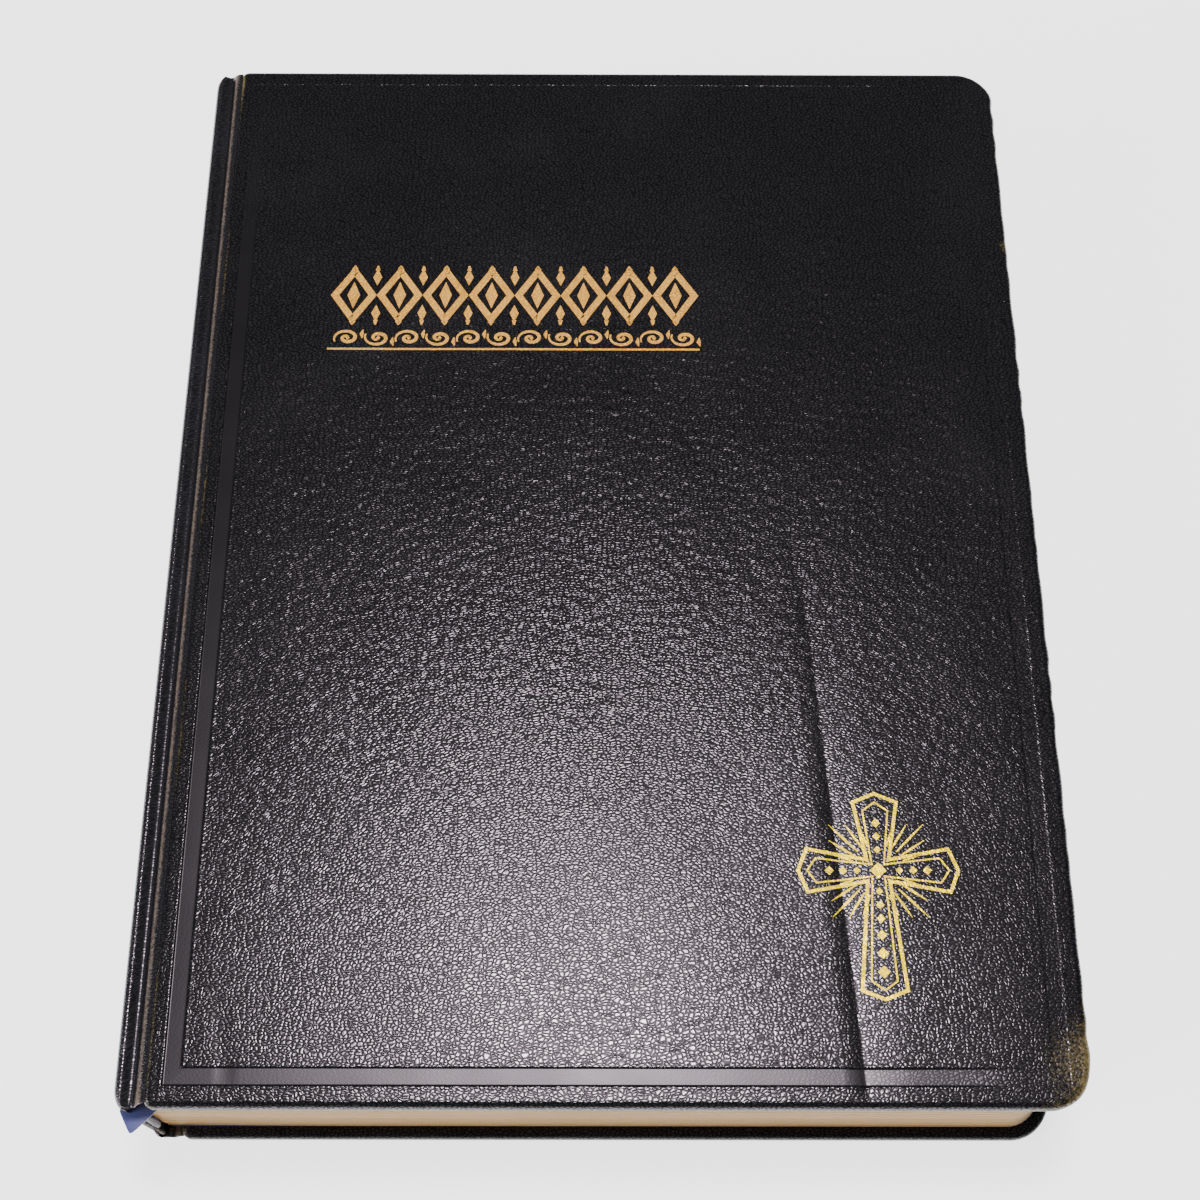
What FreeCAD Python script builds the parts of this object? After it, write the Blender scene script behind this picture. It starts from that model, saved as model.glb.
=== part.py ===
"""A large case-bound bible, closed, lying on its back cover.

+X runs from the spine to the fore-edge, +Y from the foot to the head, +Z up. The origin is the middle
of the back cover's outer face. Both covers are boards under thin padding and leather. They turn, with
the leaves next to them, about two lines where the leather flexes at the spine's edges.
"""

import FreeCAD, Part
import math
import os

import Sketcher

DRIVING_SIZES = (
    ("cover_width", 229.0, "outside of the spine to the fore-edge"),
    ("cover_length", 301.0, "foot to head"),
    ("closed_height", 52.0, "whole book, closed"),
    ("cover_depth", 5.0, "one padded cover"),
    ("leather_sheet", 0.7, "leather thickness"),
    ("board_sheet", 2.5, "board thickness"),
    ("pastedown_sheet", 0.4, "endpaper glued inside a cover"),
    ("turn_in", 6.0, "leather folded over inside the cover"),
    ("glue_gap", 0.05, "clearance between glued layers"),
    ("fore_radius", 10.5, "cover corners at the fore-edge"),
    ("back_radius", 2.5, "cover corners at the spine"),
    ("layer_radius", 1.75, "spine corners of the layers inside a cover"),
    ("edge_round", 1.6, "rounding of a cover's outer edge"),
    ("page_margin", 3.0, "cover overhang beyond the pages"),
    ("page_radius", 8.5, "page corners at the fore-edge"),
    ("fold_radius", 1.0, "page corners at the folds"),
    ("spine_bulge", 1.6, "rise of the rounded spine"),
    ("spine_radius", 154.8, "outer radius of the rounded spine"),
    ("spine_half", 22.2, "half of the spine's height"),
    ("lining_half", 16.0, "half height of the layers inside the spine"),
    ("joint_width", 5.4, "spine edge to the cover's board"),
    ("joint_drop", 4.1, "cover top to the top of the joint leather"),
    ("joint_sheet", 0.8, "joint leather thickness"),
    ("joint_inset", 0.8, "spine edge to the joint leather"),
    ("spine_layers", 2.1, "spine surface to the folds of the pages"),
    ("cap_inset", 1.0, "cover's end to the spine's end"),
    ("lining_inset", 2.5, "cover's end to the layers inside the spine"),
    ("card_sheet", 0.4, "stiffening card of the spine"),
    ("cloth_sheet", 0.2, "a paper or cloth layer of the spine"),
    ("mull_margin", 3.0, "mull beyond the kettle stitch"),
    ("tool_inset", 5.0, "cover edge to the tooled band"),
    ("tool_left", 4.2, "board's spine edge to the tooled band"),
    ("tool_band", 4.0, "width of the tooled band"),
    ("tool_deep", 0.3, "depth of the tooled band"),
    ("leaf_sheet", 0.2, "a single leaf"),
    ("leaf_gap", 0.05, "clearance over a leaf"),
    ("section_sheet", 1.6, "a sewn section of thin paper"),
    ("front_sheet", 1.4, "a section of the front pages"),
    ("ribbon_gap", 0.35, "room for the ribbon over the last section"),
    ("ribbon_sheet", 0.3, "ribbon thickness"),
    ("ribbon_wide", 10.0, "ribbon width"),
    ("ribbon_left", 2.9, "outside of the spine to the ribbon"),
    ("ribbon_out", 6.6, "ribbon beyond the foot of the pages"),
    ("ribbon_slant", 11.0, "length of the ribbon's slanted end"),
    ("band_half", 14.0, "half height of a headband"),
    ("band_deep", 1.65, "headband along the book's length"),
    ("band_thick", 1.8, "headband through the spine"),
    ("tape_wide", 15.0, "sewing tape"),
    ("tape_pitch", 58.0, "from one tape to the next"),
    ("kettle_wide", 1.0, "kettle stitch"),
    ("kettle_reach", 134.0, "middle to the kettle stitch"),
    ("foil_sheet", 0.1, "gold foil"),
    ("title_left", -76.4, "left end of the title row"),
    ("title_foot", 62.2, "foot of the title row"),
    ("title_tall", 19.5, "height of the title row"),
    ("title_wide", 102.8, "length of the title row"),
    ("frame_opening", 0.66, "opening of a lozenge frame, as a share of its size"),
    ("stone_share", 0.34, "lozenge inside a frame, as a share of its size"),
    ("scroll_foot", 54.1, "foot of the running scroll"),
    ("scroll_tall", 7.0, "height of the running scroll"),
    ("rail_wide", 0.5, "rails of the scroll"),
    ("scroll_clear", 1.0, "outside of a rail to the lozenges"),
    ("scroll_share", 0.8, "width of a lozenge, as a share of its pitch"),
    ("emblem_across", 67.0, "middle of the emblem, from the middle of the cover"),
    ("emblem_foot", -125.5, "foot of the emblem"),
    ("emblem_tall", 52.0, "height of the emblem"),
    ("emblem_wide", 40.0, "width of the emblem"),
    ("emblem_arm", 7.0, "width of the cross's arms"),
    ("beam_drop", 20.0, "top of the cross to the middle of its beam"),
)
SECTION_COUNT = 22
FRONT_SECTION_COUNT = 3
TURNED_LEAVES = 4
TAPE_COUNT = 4
TITLE_MOTIFS = 8
SCROLL_WAVES = 14

doc = FreeCAD.newDocument("presentation_bible")
sheet = doc.addObject("Spreadsheet::Sheet", "Sizes")
for row, (alias, number, words) in enumerate(DRIVING_SIZES, start=1):
    sheet.set(f"A{row}", words)
    sheet.set(f"B{row}", str(number))
    sheet.setAlias(f"B{row}", alias)
doc.recompute()

parts = []

# Places that several pieces share, as expressions on the sheet.
BACK = "-Sizes.cover_width / 2"
FORE = "Sizes.cover_width / 2"
HALF_LENGTH = "Sizes.cover_length / 2"
BOARD_BACK = f"{BACK} + Sizes.spine_bulge + Sizes.joint_width"
BLOCK_FOOT = "Sizes.cover_depth"
BLOCK_TOP = "(Sizes.closed_height - Sizes.cover_depth)"
PAGE_HALF = f"({HALF_LENGTH} - Sizes.page_margin)"
LEAF_STEP = "(Sizes.leaf_sheet + Sizes.leaf_gap)"


def value(expression):
    """The number an expression on the sheet gives now."""
    return float(sheet.evalExpression(expression))


def keep(label, made):
    """Name a finished sub-part, which is written to a file under that name."""
    made.Label = label
    parts.append(made)
    return made


def fix(sketch, kind, where, expression):
    """Add one sized constraint and bind it to the sheet."""
    index = sketch.addConstraint(Sketcher.Constraint(kind, *where, value(expression)))
    sketch.setExpression(f"Constraints[{index}]", expression)


def body_sketch(body, role="XY_Plane", offset="0"):
    """A sketch on one of the body's own origin planes, moved along its normal."""
    sketch = body.newObject("Sketcher::SketchObject", f"{body.Name}_sketch")
    plane = next(f for f in body.Origin.OriginFeatures if f.Role == role)
    sketch.AttachmentSupport = [(plane, "")]
    sketch.MapMode = "FlatFace"
    sketch.setExpression("AttachmentOffset.Base.z", offset)
    return sketch


def join_ends(sketch, kind, first, count):
    """Close a loop: each curve's end meets the next one's start."""
    for i in range(count):
        sketch.addConstraint(
            Sketcher.Constraint(kind, first + i, 2, first + (i + 1) % count, 1)
        )


def rounded_outline(sketch, sides, back_radius, fore_radius):
    """A rectangle with tangent corner arcs. sides are left, right, low and high, as expressions."""
    x0, x1, y0, y1 = (value(side) for side in sides)
    rb, rf = value(back_radius), value(fore_radius)
    first = sketch.GeometryCount

    def line(xa, ya, xb, yb):
        sketch.addGeometry(Part.LineSegment(FreeCAD.Vector(xa, ya), FreeCAD.Vector(xb, yb)))

    def corner(x, y, radius, start):
        circle = Part.Circle(FreeCAD.Vector(x, y), FreeCAD.Vector(0, 0, 1), radius)
        sketch.addGeometry(
            Part.ArcOfCircle(circle, math.radians(start), math.radians(start + 90))
        )

    line(x0 + rb, y0, x1 - rf, y0)
    corner(x1 - rf, y0 + rf, rf, -90)
    line(x1, y0 + rf, x1, y1 - rf)
    corner(x1 - rf, y1 - rf, rf, 0)
    line(x1 - rf, y1, x0 + rb, y1)
    corner(x0 + rb, y1 - rb, rb, 90)
    line(x0, y1 - rb, x0, y0 + rb)
    corner(x0 + rb, y0 + rb, rb, 180)
    low, fore_low, right, fore_high, high, back_high, left, back_low = range(first, first + 8)
    join_ends(sketch, "Tangent", first, 8)
    for side in (low, high):
        sketch.addConstraint(Sketcher.Constraint("Horizontal", side))
    for side in (left, right):
        sketch.addConstraint(Sketcher.Constraint("Vertical", side))
    for arc in (fore_low, fore_high):
        fix(sketch, "Radius", (arc,), fore_radius)
    for arc in (back_high, back_low):
        fix(sketch, "Radius", (arc,), back_radius)
    fix(sketch, "DistanceX", (-1, 1, left, 1), sides[0])
    fix(sketch, "DistanceX", (-1, 1, right, 1), sides[1])
    fix(sketch, "DistanceY", (-1, 1, low, 1), sides[2])
    fix(sketch, "DistanceY", (-1, 1, high, 1), sides[3])


def corner_outline(sketch, corners):
    """A closed polygon whose corners are pairs of expressions."""
    first = sketch.GeometryCount
    places = [FreeCAD.Vector(value(x), value(y)) for x, y in corners]
    for start, end in zip(places, places[1:] + places[:1]):
        sketch.addGeometry(Part.LineSegment(start, end))
    join_ends(sketch, "Coincident", first, len(corners))
    for i, (x, y) in enumerate(corners):
        fix(sketch, "DistanceX", (-1, 1, first + i, 1), x)
        fix(sketch, "DistanceY", (-1, 1, first + i, 1), y)


def box_corners(left, right, low, high):
    """The four corners of an upright rectangle, anticlockwise."""
    return ((left, low), (right, low), (right, high), (left, high))


def pad(body, sketch, length, both_ways=False):
    made = body.newObject("PartDesign::Pad", f"{body.Name}_pad")
    made.Profile = sketch
    made.setExpression("Length", length)
    made.SideType = "Symmetric" if both_ways else "One side"
    doc.recompute()
    return made


def pocket_up(body, sketch, length):
    """Cut upwards from the sketch, and make sure that something was cut."""
    before = body.Shape.Volume
    made = body.newObject("PartDesign::Pocket", f"{body.Name}_pocket")
    made.Profile = sketch
    made.setExpression("Length", length)
    made.Reversed = True
    doc.recompute()
    if body.Shape.Volume > before - 1.0:
        raise RuntimeError(f"{body.Name}: the pocket cut nothing")
    return made


# ---------------------------------------------------------------- covers


def cover_sides(inset):
    """A cover's outline, drawn in by an inset on every side."""
    return (
        f"{BOARD_BACK} + {inset}",
        f"{FORE} - {inset}",
        f"-{HALF_LENGTH} + {inset}",
        f"{HALF_LENGTH} - {inset}",
    )


def cover_layer_foot(cover, start, thickness):
    """Low side of a layer that starts at a depth from the cover's inner face."""
    if cover == "front":
        return f"{BLOCK_TOP} + {start}"
    return f"Sizes.cover_depth - ({start}) - ({thickness})"


def cover_outline(body, cover, start, thickness, inset, round_less):
    """Sketch of a cover layer: its corners are the cover's, less the same inset."""
    sketch = body_sketch(body, offset=cover_layer_foot(cover, start, thickness))
    radius = f"Sizes.fore_radius - {round_less}"
    rounded_outline(sketch, cover_sides(inset), "Sizes.layer_radius", radius)
    return sketch


def cover_layer(cover, name, start, thickness, inset, round_less):
    """One flat layer of a cover: board, padding or pastedown."""
    label = f"{cover}_{name}"
    body = doc.addObject("PartDesign::Body", label)
    sketch = cover_outline(body, cover, start, thickness, inset, round_less)
    pad(body, sketch, thickness)
    return keep(label, body)


def cover_leather(cover):
    """The leather: outer face, wrapped edges and turn-ins, as one tray round the board."""
    label = f"{cover}_cover_leather"
    body = doc.addObject("PartDesign::Body", label)
    skin = "Sizes.leather_sheet"
    outline = body_sketch(body, offset=cover_layer_foot(cover, "0", "Sizes.cover_depth"))
    rounded_outline(outline, cover_sides("0"), "Sizes.back_radius", "Sizes.fore_radius")
    padded = pad(body, outline, "Sizes.cover_depth")

    outer_face = value("Sizes.closed_height") if cover == "front" else 0.0
    rim = [
        f"Edge{i}"
        for i, edge in enumerate(padded.Shape.Edges, start=1)
        if all(abs(v.Z - outer_face) < 1e-6 for v in edge.Vertexes)
    ]
    softened = body.newObject("PartDesign::Fillet", f"{label}_fillet")
    softened.Base = (padded, rim)
    softened.setExpression("Radius", "Sizes.edge_round")
    body.Tip = softened
    doc.recompute()

    opening = cover_outline(body, cover, "0", skin, "Sizes.turn_in", "Sizes.turn_in")
    pocket_up(body, opening, skin)
    inside = f"Sizes.cover_depth - 2 * {skin}"
    cavity = cover_outline(body, cover, skin, inside, skin, skin)
    pocket_up(body, cavity, inside)

    if cover == "front":
        band = body_sketch(body, offset="Sizes.closed_height - Sizes.tool_deep")
        for step in ("0", "Sizes.tool_band"):
            corner_outline(
                band,
                box_corners(
                    f"{BOARD_BACK} + Sizes.tool_left + {step}",
                    f"{FORE} - Sizes.tool_inset - {step}",
                    f"-{HALF_LENGTH} + Sizes.tool_inset + {step}",
                    f"{HALF_LENGTH} - Sizes.tool_inset - {step}",
                ),
            )
        pocket_up(body, band, "Sizes.tool_deep")
    return keep(label, body)


def joint_leather(cover):
    """The flexing strip between the spine and a cover, which turns with the cover."""
    strip = doc.addObject("Part::Box", f"{cover}_joint_leather")
    strip.setExpression("Length", "Sizes.joint_width - Sizes.joint_inset - Sizes.glue_gap")
    strip.setExpression("Width", f"2 * {PAGE_HALF}")
    strip.setExpression("Height", "Sizes.joint_sheet")
    left = f"{BACK} + Sizes.spine_bulge + Sizes.joint_inset"
    strip.setExpression("Placement.Base.x", left)
    strip.setExpression("Placement.Base.y", f"-{PAGE_HALF}")
    foot = "Sizes.joint_drop"
    if cover == "front":
        foot = "Sizes.closed_height - Sizes.joint_drop - Sizes.joint_sheet"
    strip.setExpression("Placement.Base.z", foot)
    return keep(f"{cover}_joint_leather", strip)


def make_cover(cover):
    skin = "Sizes.leather_sheet"
    padding = f"Sizes.cover_depth - 2 * {skin} - Sizes.board_sheet"
    snug = f"({skin} + Sizes.glue_gap)"
    framed = "(Sizes.turn_in + Sizes.glue_gap)"
    cover_leather(cover)
    cover_layer(cover, "board", skin, "Sizes.board_sheet", snug, snug)
    cover_layer(cover, "padding", f"{skin} + Sizes.board_sheet", padding, snug, snug)
    paper = "Sizes.pastedown_sheet"
    cover_layer(cover, "pastedown", f"{skin} - {paper}", paper, framed, framed)
    joint_leather(cover)


# ---------------------------------------------------------------- spine


def spine_strip(name, depth, thickness, half_height, middle, length):
    """A curved layer of the spine. depth is from the spine's outer surface; middle is its place in Y."""
    body = doc.addObject("PartDesign::Body", name)
    sketch = body_sketch(body, role="XZ_Plane", offset=f"-({middle})")
    centre = (f"{BACK} + Sizes.spine_radius", "Sizes.closed_height / 2")
    reach = value(half_height)
    for radius in (f"Sizes.spine_radius - {depth}", f"Sizes.spine_radius - {depth} - {thickness}"):
        swing = math.asin(reach / value(radius))
        place = FreeCAD.Vector(value(centre[0]), value(centre[1]))
        circle = Part.Circle(place, FreeCAD.Vector(0, 0, 1), value(radius))
        arc = sketch.addGeometry(Part.ArcOfCircle(circle, math.pi - swing, math.pi + swing))
        fix(sketch, "Radius", (arc,), radius)
        fix(sketch, "DistanceX", (-1, 1, arc, 3), centre[0])
        fix(sketch, "DistanceY", (-1, 1, arc, 3), centre[1])
    for end in (1, 2):
        outer, inner = (sketch.getPoint(arc, end) for arc in (0, 1))
        line = sketch.addGeometry(Part.LineSegment(outer, inner))
        sketch.addConstraint(Sketcher.Constraint("Coincident", line, 1, 0, end))
        sketch.addConstraint(Sketcher.Constraint("Coincident", line, 2, 1, end))
        sketch.addConstraint(Sketcher.Constraint("Horizontal", line))
        sign = "+" if end == 1 else "-"
        fix(sketch, "DistanceY", (-1, 1, 0, end), f"{centre[1]} {sign} {half_height}")
    pad(body, sketch, length, both_ways=True)
    return body


def make_spine():
    gap = "Sizes.glue_gap"
    half = "Sizes.lining_half"
    cloth = "Sizes.cloth_sheet"
    mull_length = "2 * (Sizes.kettle_reach + Sizes.mull_margin)"
    keep(
        "spine_leather",
        spine_strip(
            "spine_leather", "0", "Sizes.leather_sheet", "Sizes.spine_half", "0",
            "Sizes.cover_length - 2 * Sizes.cap_inset",
        ),
    )
    stiffener_depth = f"(Sizes.leather_sheet + {gap})"
    inside_length = "Sizes.cover_length - 2 * Sizes.lining_inset"
    keep(
        "spine_stiffener",
        spine_strip("spine_stiffener", stiffener_depth, "Sizes.card_sheet", half, "0", inside_length),
    )
    lining_depth = f"({stiffener_depth} + Sizes.card_sheet + {gap})"
    keep(
        "spine_lining",
        spine_strip("spine_lining", lining_depth, cloth, half, "0", inside_length),
    )
    mull_depth = f"({lining_depth} + {cloth} + {gap})"
    keep(
        "spine_mull",
        spine_strip("spine_mull", mull_depth, cloth, half, "0", mull_length),
    )
    sewing_depth = f"({mull_depth} + {cloth} + {gap})"
    tapes = []
    for i in range(TAPE_COUNT):
        middle = f"Sizes.tape_pitch * {i - (TAPE_COUNT - 1) / 2}"
        name = f"sewing_tape_{i + 1}"
        tapes.append(spine_strip(name, sewing_depth, cloth, half, middle, "Sizes.tape_wide"))
    keep("sewing_tapes", compound("sewing_tapes", tapes))
    threads = []
    for name, side in (("kettle_head", ""), ("kettle_foot", "-")):
        middle = f"{side}Sizes.kettle_reach"
        threads.append(spine_strip(name, sewing_depth, cloth, half, middle, "Sizes.kettle_wide"))
    keep("sewing_thread", compound("sewing_thread", threads))
    for name, side in (("headband", ""), ("tailband", "-")):
        middle = f"{side}({PAGE_HALF} + {gap} + Sizes.band_deep / 2)"
        band = spine_strip(
            name, mull_depth, "Sizes.band_thick", "Sizes.band_half", middle, "Sizes.band_deep",
        )
        keep(name, band)


def compound(name, pieces):
    """Several separate solids under one name."""
    group = doc.addObject("Part::Compound", f"{name}_group")
    group.Links = pieces
    return group


# ---------------------------------------------------------------- pages


def fold_line(height):
    """X of the folds at a height: the pages follow the rounded spine."""
    rise = f"(({height} - Sizes.closed_height / 2) / Sizes.spine_half)"
    return f"{BACK} + Sizes.spine_layers + Sizes.spine_bulge * {rise} ^ 2"


def page_outline():
    """The cut outline that every leaf and section shares, with its folds on X = 0."""
    outline = doc.addObject("Sketcher::SketchObject", "page_outline")
    width = f"{FORE} - Sizes.page_margin - ({fold_line(BLOCK_TOP)})"
    sides = ("0", width, f"-{PAGE_HALF}", PAGE_HALF)
    rounded_outline(outline, sides, "Sizes.fold_radius", "Sizes.page_radius")
    return outline


def page_slab(name, outline, foot, thickness):
    """A leaf or section. Its folds follow the spine where that is furthest from the middle."""
    slab = doc.addObject("Part::Extrusion", name)
    slab.Base = outline
    slab.DirMode = "Custom"
    slab.Dir = FreeCAD.Vector(0, 0, 1)
    slab.Solid = True
    slab.setExpression("LengthFwd", thickness)
    low, high = f"({foot})", f"({foot} + {thickness})"
    middle = value("Sizes.closed_height") / 2
    outermost = low if abs(value(low) - middle) > abs(value(high) - middle) else high
    slab.setExpression("Placement.Base.x", fold_line(outermost))
    slab.setExpression("Placement.Base.z", foot)
    return slab


def make_ribbon(foot):
    """A flat ribbon over the last section, with a slanted end beyond the foot of the pages."""
    sketch = doc.addObject("Sketcher::SketchObject", "ribbon_outline")
    left = f"{BACK} + Sizes.ribbon_left"
    right = f"{left} + Sizes.ribbon_wide"
    tip = f"-{PAGE_HALF} - Sizes.ribbon_out"
    slant = f"{tip} + Sizes.ribbon_slant"
    corner_outline(sketch, ((left, tip), (right, slant), (right, PAGE_HALF), (left, PAGE_HALF)))
    ribbon = doc.addObject("Part::Extrusion", "ribbon")
    ribbon.Base = sketch
    ribbon.DirMode = "Custom"
    ribbon.Dir = FreeCAD.Vector(0, 0, 1)
    ribbon.Solid = True
    ribbon.setExpression("LengthFwd", "Sizes.ribbon_sheet")
    ribbon.setExpression("Placement.Base.z", f"{foot} + (Sizes.ribbon_gap - Sizes.ribbon_sheet) / 2")
    keep("ribbon_marker", ribbon)


def make_pages():
    """From the back cover up: back endpaper, sewn sections, loose-turning leaves, front pages."""
    outline = page_outline()
    foot = f"{BLOCK_FOOT} + Sizes.leaf_gap"
    leaf = "Sizes.leaf_sheet"
    keep("back_free_endpaper", page_slab("back_leaf", outline, foot, leaf))

    block_foot = f"{foot} + {LEAF_STEP}"
    sections = []
    for i in range(SECTION_COUNT):
        section_foot = f"{block_foot} + {i} * Sizes.section_sheet"
        sections.append(
            page_slab(f"section_{i + 1}", outline, section_foot, "Sizes.section_sheet")
        )
    keep("page_sections", compound("page_sections", sections))
    block_top = f"{block_foot} + {SECTION_COUNT} * Sizes.section_sheet"
    make_ribbon(block_top)

    leaves_foot = f"{block_top} + Sizes.ribbon_gap + Sizes.leaf_gap"
    for i in range(TURNED_LEAVES):
        leaf_foot = f"{leaves_foot} + {i} * {LEAF_STEP}"
        keep(f"page_leaf_{i + 1}", page_slab(f"turned_leaf_{i + 1}", outline, leaf_foot, leaf))

    front_foot = f"{leaves_foot} + {TURNED_LEAVES} * {LEAF_STEP}"
    front = [
        page_slab(
            f"front_section_{i + 1}", outline, f"{front_foot} + {i} * Sizes.front_sheet",
            "Sizes.front_sheet",
        )
        for i in range(FRONT_SECTION_COUNT)
    ]
    keep("front_pages", compound("front_pages", front))

    top_foot = f"{front_foot} + {FRONT_SECTION_COUNT} * Sizes.front_sheet + Sizes.leaf_gap"
    for i, name in enumerate(("title_leaf", "presentation_leaf", "front_free_endpaper")):
        keep(name, page_slab(f"{name}_slab", outline, f"{top_foot} + {i} * {LEAF_STEP}", leaf))


# ---------------------------------------------------------------- gold foil


def foil_piece(name, draw):
    """A thin foil shape on the front cover. draw adds its outline to the sketch."""
    sketch = doc.addObject("Sketcher::SketchObject", f"{name}_outline")
    draw(sketch)
    foil = doc.addObject("Part::Extrusion", name)
    foil.Base = sketch
    foil.DirMode = "Custom"
    foil.Dir = FreeCAD.Vector(0, 0, 1)
    foil.Solid = True
    foil.setExpression("LengthFwd", "Sizes.foil_sheet")
    foil.setExpression("Placement.Base.z", "Sizes.closed_height")
    return foil


def lozenge(sketch, middle, foot, wide, tall):
    x, y = f"({middle})", f"({foot} + {tall} / 2)"
    corner_outline(
        sketch,
        (
            (x, f"{y} - {tall} / 2"),
            (f"{x} + {wide} / 2", y),
            (x, f"{y} + {tall} / 2"),
            (f"{x} - {wide} / 2", y),
        ),
    )


def make_title_row():
    """A row of framed lozenges."""
    pitch = f"(Sizes.title_wide / {TITLE_MOTIFS})"
    pieces = []

    def motif(sketch, middle, share):
        """A lozenge of the row's full size times a share, about the row's middle line."""
        foot = f"(Sizes.title_foot + Sizes.title_tall * (1 - {share}) / 2)"
        lozenge(sketch, middle, foot, f"({pitch} * {share})", f"(Sizes.title_tall * {share})")

    for i in range(TITLE_MOTIFS):
        middle = f"Sizes.title_left + {pitch} * {i + 0.5}"

        def frame(sketch, middle=middle):
            lozenge(sketch, middle, "Sizes.title_foot", pitch, "Sizes.title_tall")
            motif(sketch, middle, "Sizes.frame_opening")

        def stone(sketch, middle=middle):
            motif(sketch, middle, "Sizes.stone_share")

        pieces.append(foil_piece(f"title_frame_{i + 1}", frame))
        pieces.append(foil_piece(f"title_stone_{i + 1}", stone))
    keep("title_foil", compound("title_foil", pieces))


def make_scroll():
    """Two rails with a row of lozenges between them."""
    rail = "Sizes.rail_wide"
    left = "Sizes.title_left"
    right = "Sizes.title_left + Sizes.title_wide"
    top = "Sizes.scroll_foot + Sizes.scroll_tall"
    pieces = []
    for name, low, high in (
        ("rail_low", "Sizes.scroll_foot", f"Sizes.scroll_foot + {rail}"),
        ("rail_high", f"{top} - {rail}", top),
    ):
        corners = box_corners(left, right, low, high)
        pieces.append(foil_piece(name, lambda sketch, c=corners: corner_outline(sketch, c)))
    pitch = f"(Sizes.title_wide / {SCROLL_WAVES})"
    for i in range(SCROLL_WAVES):
        middle = f"{left} + {pitch} * {i + 0.5}"

        def leaf(sketch, middle=middle):
            lozenge(
                sketch, middle, "(Sizes.scroll_foot + Sizes.scroll_clear)",
                f"({pitch} * Sizes.scroll_share)", "(Sizes.scroll_tall - 2 * Sizes.scroll_clear)",
            )

        pieces.append(foil_piece(f"scroll_leaf_{i + 1}", leaf))
    keep("scroll_foil", compound("scroll_foil", pieces))


def make_emblem():
    """A plain upright cross."""
    x = "Sizes.emblem_across"
    foot = "Sizes.emblem_foot"
    top = f"({foot} + Sizes.emblem_tall)"
    arm = "Sizes.emblem_arm / 2"
    reach = "Sizes.emblem_wide / 2"
    beam = f"({top} - Sizes.beam_drop)"
    corners = (
        (f"{x} - {arm}", foot),
        (f"{x} + {arm}", foot),
        (f"{x} + {arm}", f"{beam} - {arm}"),
        (f"{x} + {reach}", f"{beam} - {arm}"),
        (f"{x} + {reach}", f"{beam} + {arm}"),
        (f"{x} + {arm}", f"{beam} + {arm}"),
        (f"{x} + {arm}", top),
        (f"{x} - {arm}", top),
        (f"{x} - {arm}", f"{beam} + {arm}"),
        (f"{x} - {reach}", f"{beam} + {arm}"),
        (f"{x} - {reach}", f"{beam} - {arm}"),
        (f"{x} - {arm}", f"{beam} - {arm}"),
    )
    keep("emblem_foil", foil_piece("emblem_foil", lambda sketch: corner_outline(sketch, corners)))


# ---------------------------------------------------------------- build, check and write

for cover_name in ("front", "back"):
    make_cover(cover_name)
make_spine()
make_pages()
make_title_row()
make_scroll()
make_emblem()
doc.recompute()

failed = [o.Name for o in doc.Objects if {"Invalid", "Error"} & set(o.State)]
if failed:
    raise RuntimeError(f"objects that failed: {failed}")
for part in parts:
    if part.Shape.isNull() or not part.Shape.isValid() or not part.Shape.Solids:
        raise RuntimeError(f"{part.Label} has no valid solid")

os.makedirs("parts", exist_ok=True)
for part in parts:
    part.Shape.exportStep(f"parts/{part.Label}.step")
    box = part.Shape.BoundBox
    print(
        f"{part.Label}: {len(part.Shape.Solids)} solids, {part.Shape.Volume / 1000:.1f} cm3,"
        f" x {box.XMin:.2f}..{box.XMax:.2f}, y {box.YMin:.2f}..{box.YMax:.2f},"
        f" z {box.ZMin:.2f}..{box.ZMax:.2f}"
    )
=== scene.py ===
"""A large presentation bible, closed on its back cover. Metres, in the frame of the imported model."""

import math

import bmesh
import bpy
import numpy as np
from mathutils import Matrix, Vector

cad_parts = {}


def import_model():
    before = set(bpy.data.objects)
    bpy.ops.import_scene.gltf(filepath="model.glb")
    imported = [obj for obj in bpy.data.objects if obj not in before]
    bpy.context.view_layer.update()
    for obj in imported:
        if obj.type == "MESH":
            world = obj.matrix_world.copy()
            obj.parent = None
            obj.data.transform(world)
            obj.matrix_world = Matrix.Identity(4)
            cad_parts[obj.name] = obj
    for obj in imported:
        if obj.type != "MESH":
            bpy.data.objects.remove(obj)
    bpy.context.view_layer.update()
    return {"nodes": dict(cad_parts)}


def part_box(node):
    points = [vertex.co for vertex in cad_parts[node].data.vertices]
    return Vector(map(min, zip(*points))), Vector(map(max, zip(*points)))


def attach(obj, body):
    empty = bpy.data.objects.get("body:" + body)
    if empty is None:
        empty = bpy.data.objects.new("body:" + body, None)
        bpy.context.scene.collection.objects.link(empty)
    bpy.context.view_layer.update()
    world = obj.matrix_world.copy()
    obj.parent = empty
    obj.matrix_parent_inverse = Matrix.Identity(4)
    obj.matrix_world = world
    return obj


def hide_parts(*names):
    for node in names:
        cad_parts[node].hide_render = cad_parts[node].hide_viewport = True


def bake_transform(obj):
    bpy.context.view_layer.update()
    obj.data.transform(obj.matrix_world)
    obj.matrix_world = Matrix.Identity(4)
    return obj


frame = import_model()
MM = 0.001


def box_mm(node):
    """Lowest and highest corners of a CAD node, in millimetres."""
    low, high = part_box(node)
    return np.array(low) / MM, np.array(high) / MM


def ease(t):
    """0 to 1 with soft ends, and level outside them."""
    t = np.clip(t, 0.0, 1.0)
    return t * t * (3 - 2 * t)


def bell(distance, reach):
    """1 at no distance, falling off on both sides."""
    return np.exp(-((distance / reach) ** 2))


def fade(distance, reach):
    """1 at no distance, dying away one way."""
    return np.exp(-distance / reach)


# ---------------------------------------------------------------- materials

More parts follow.
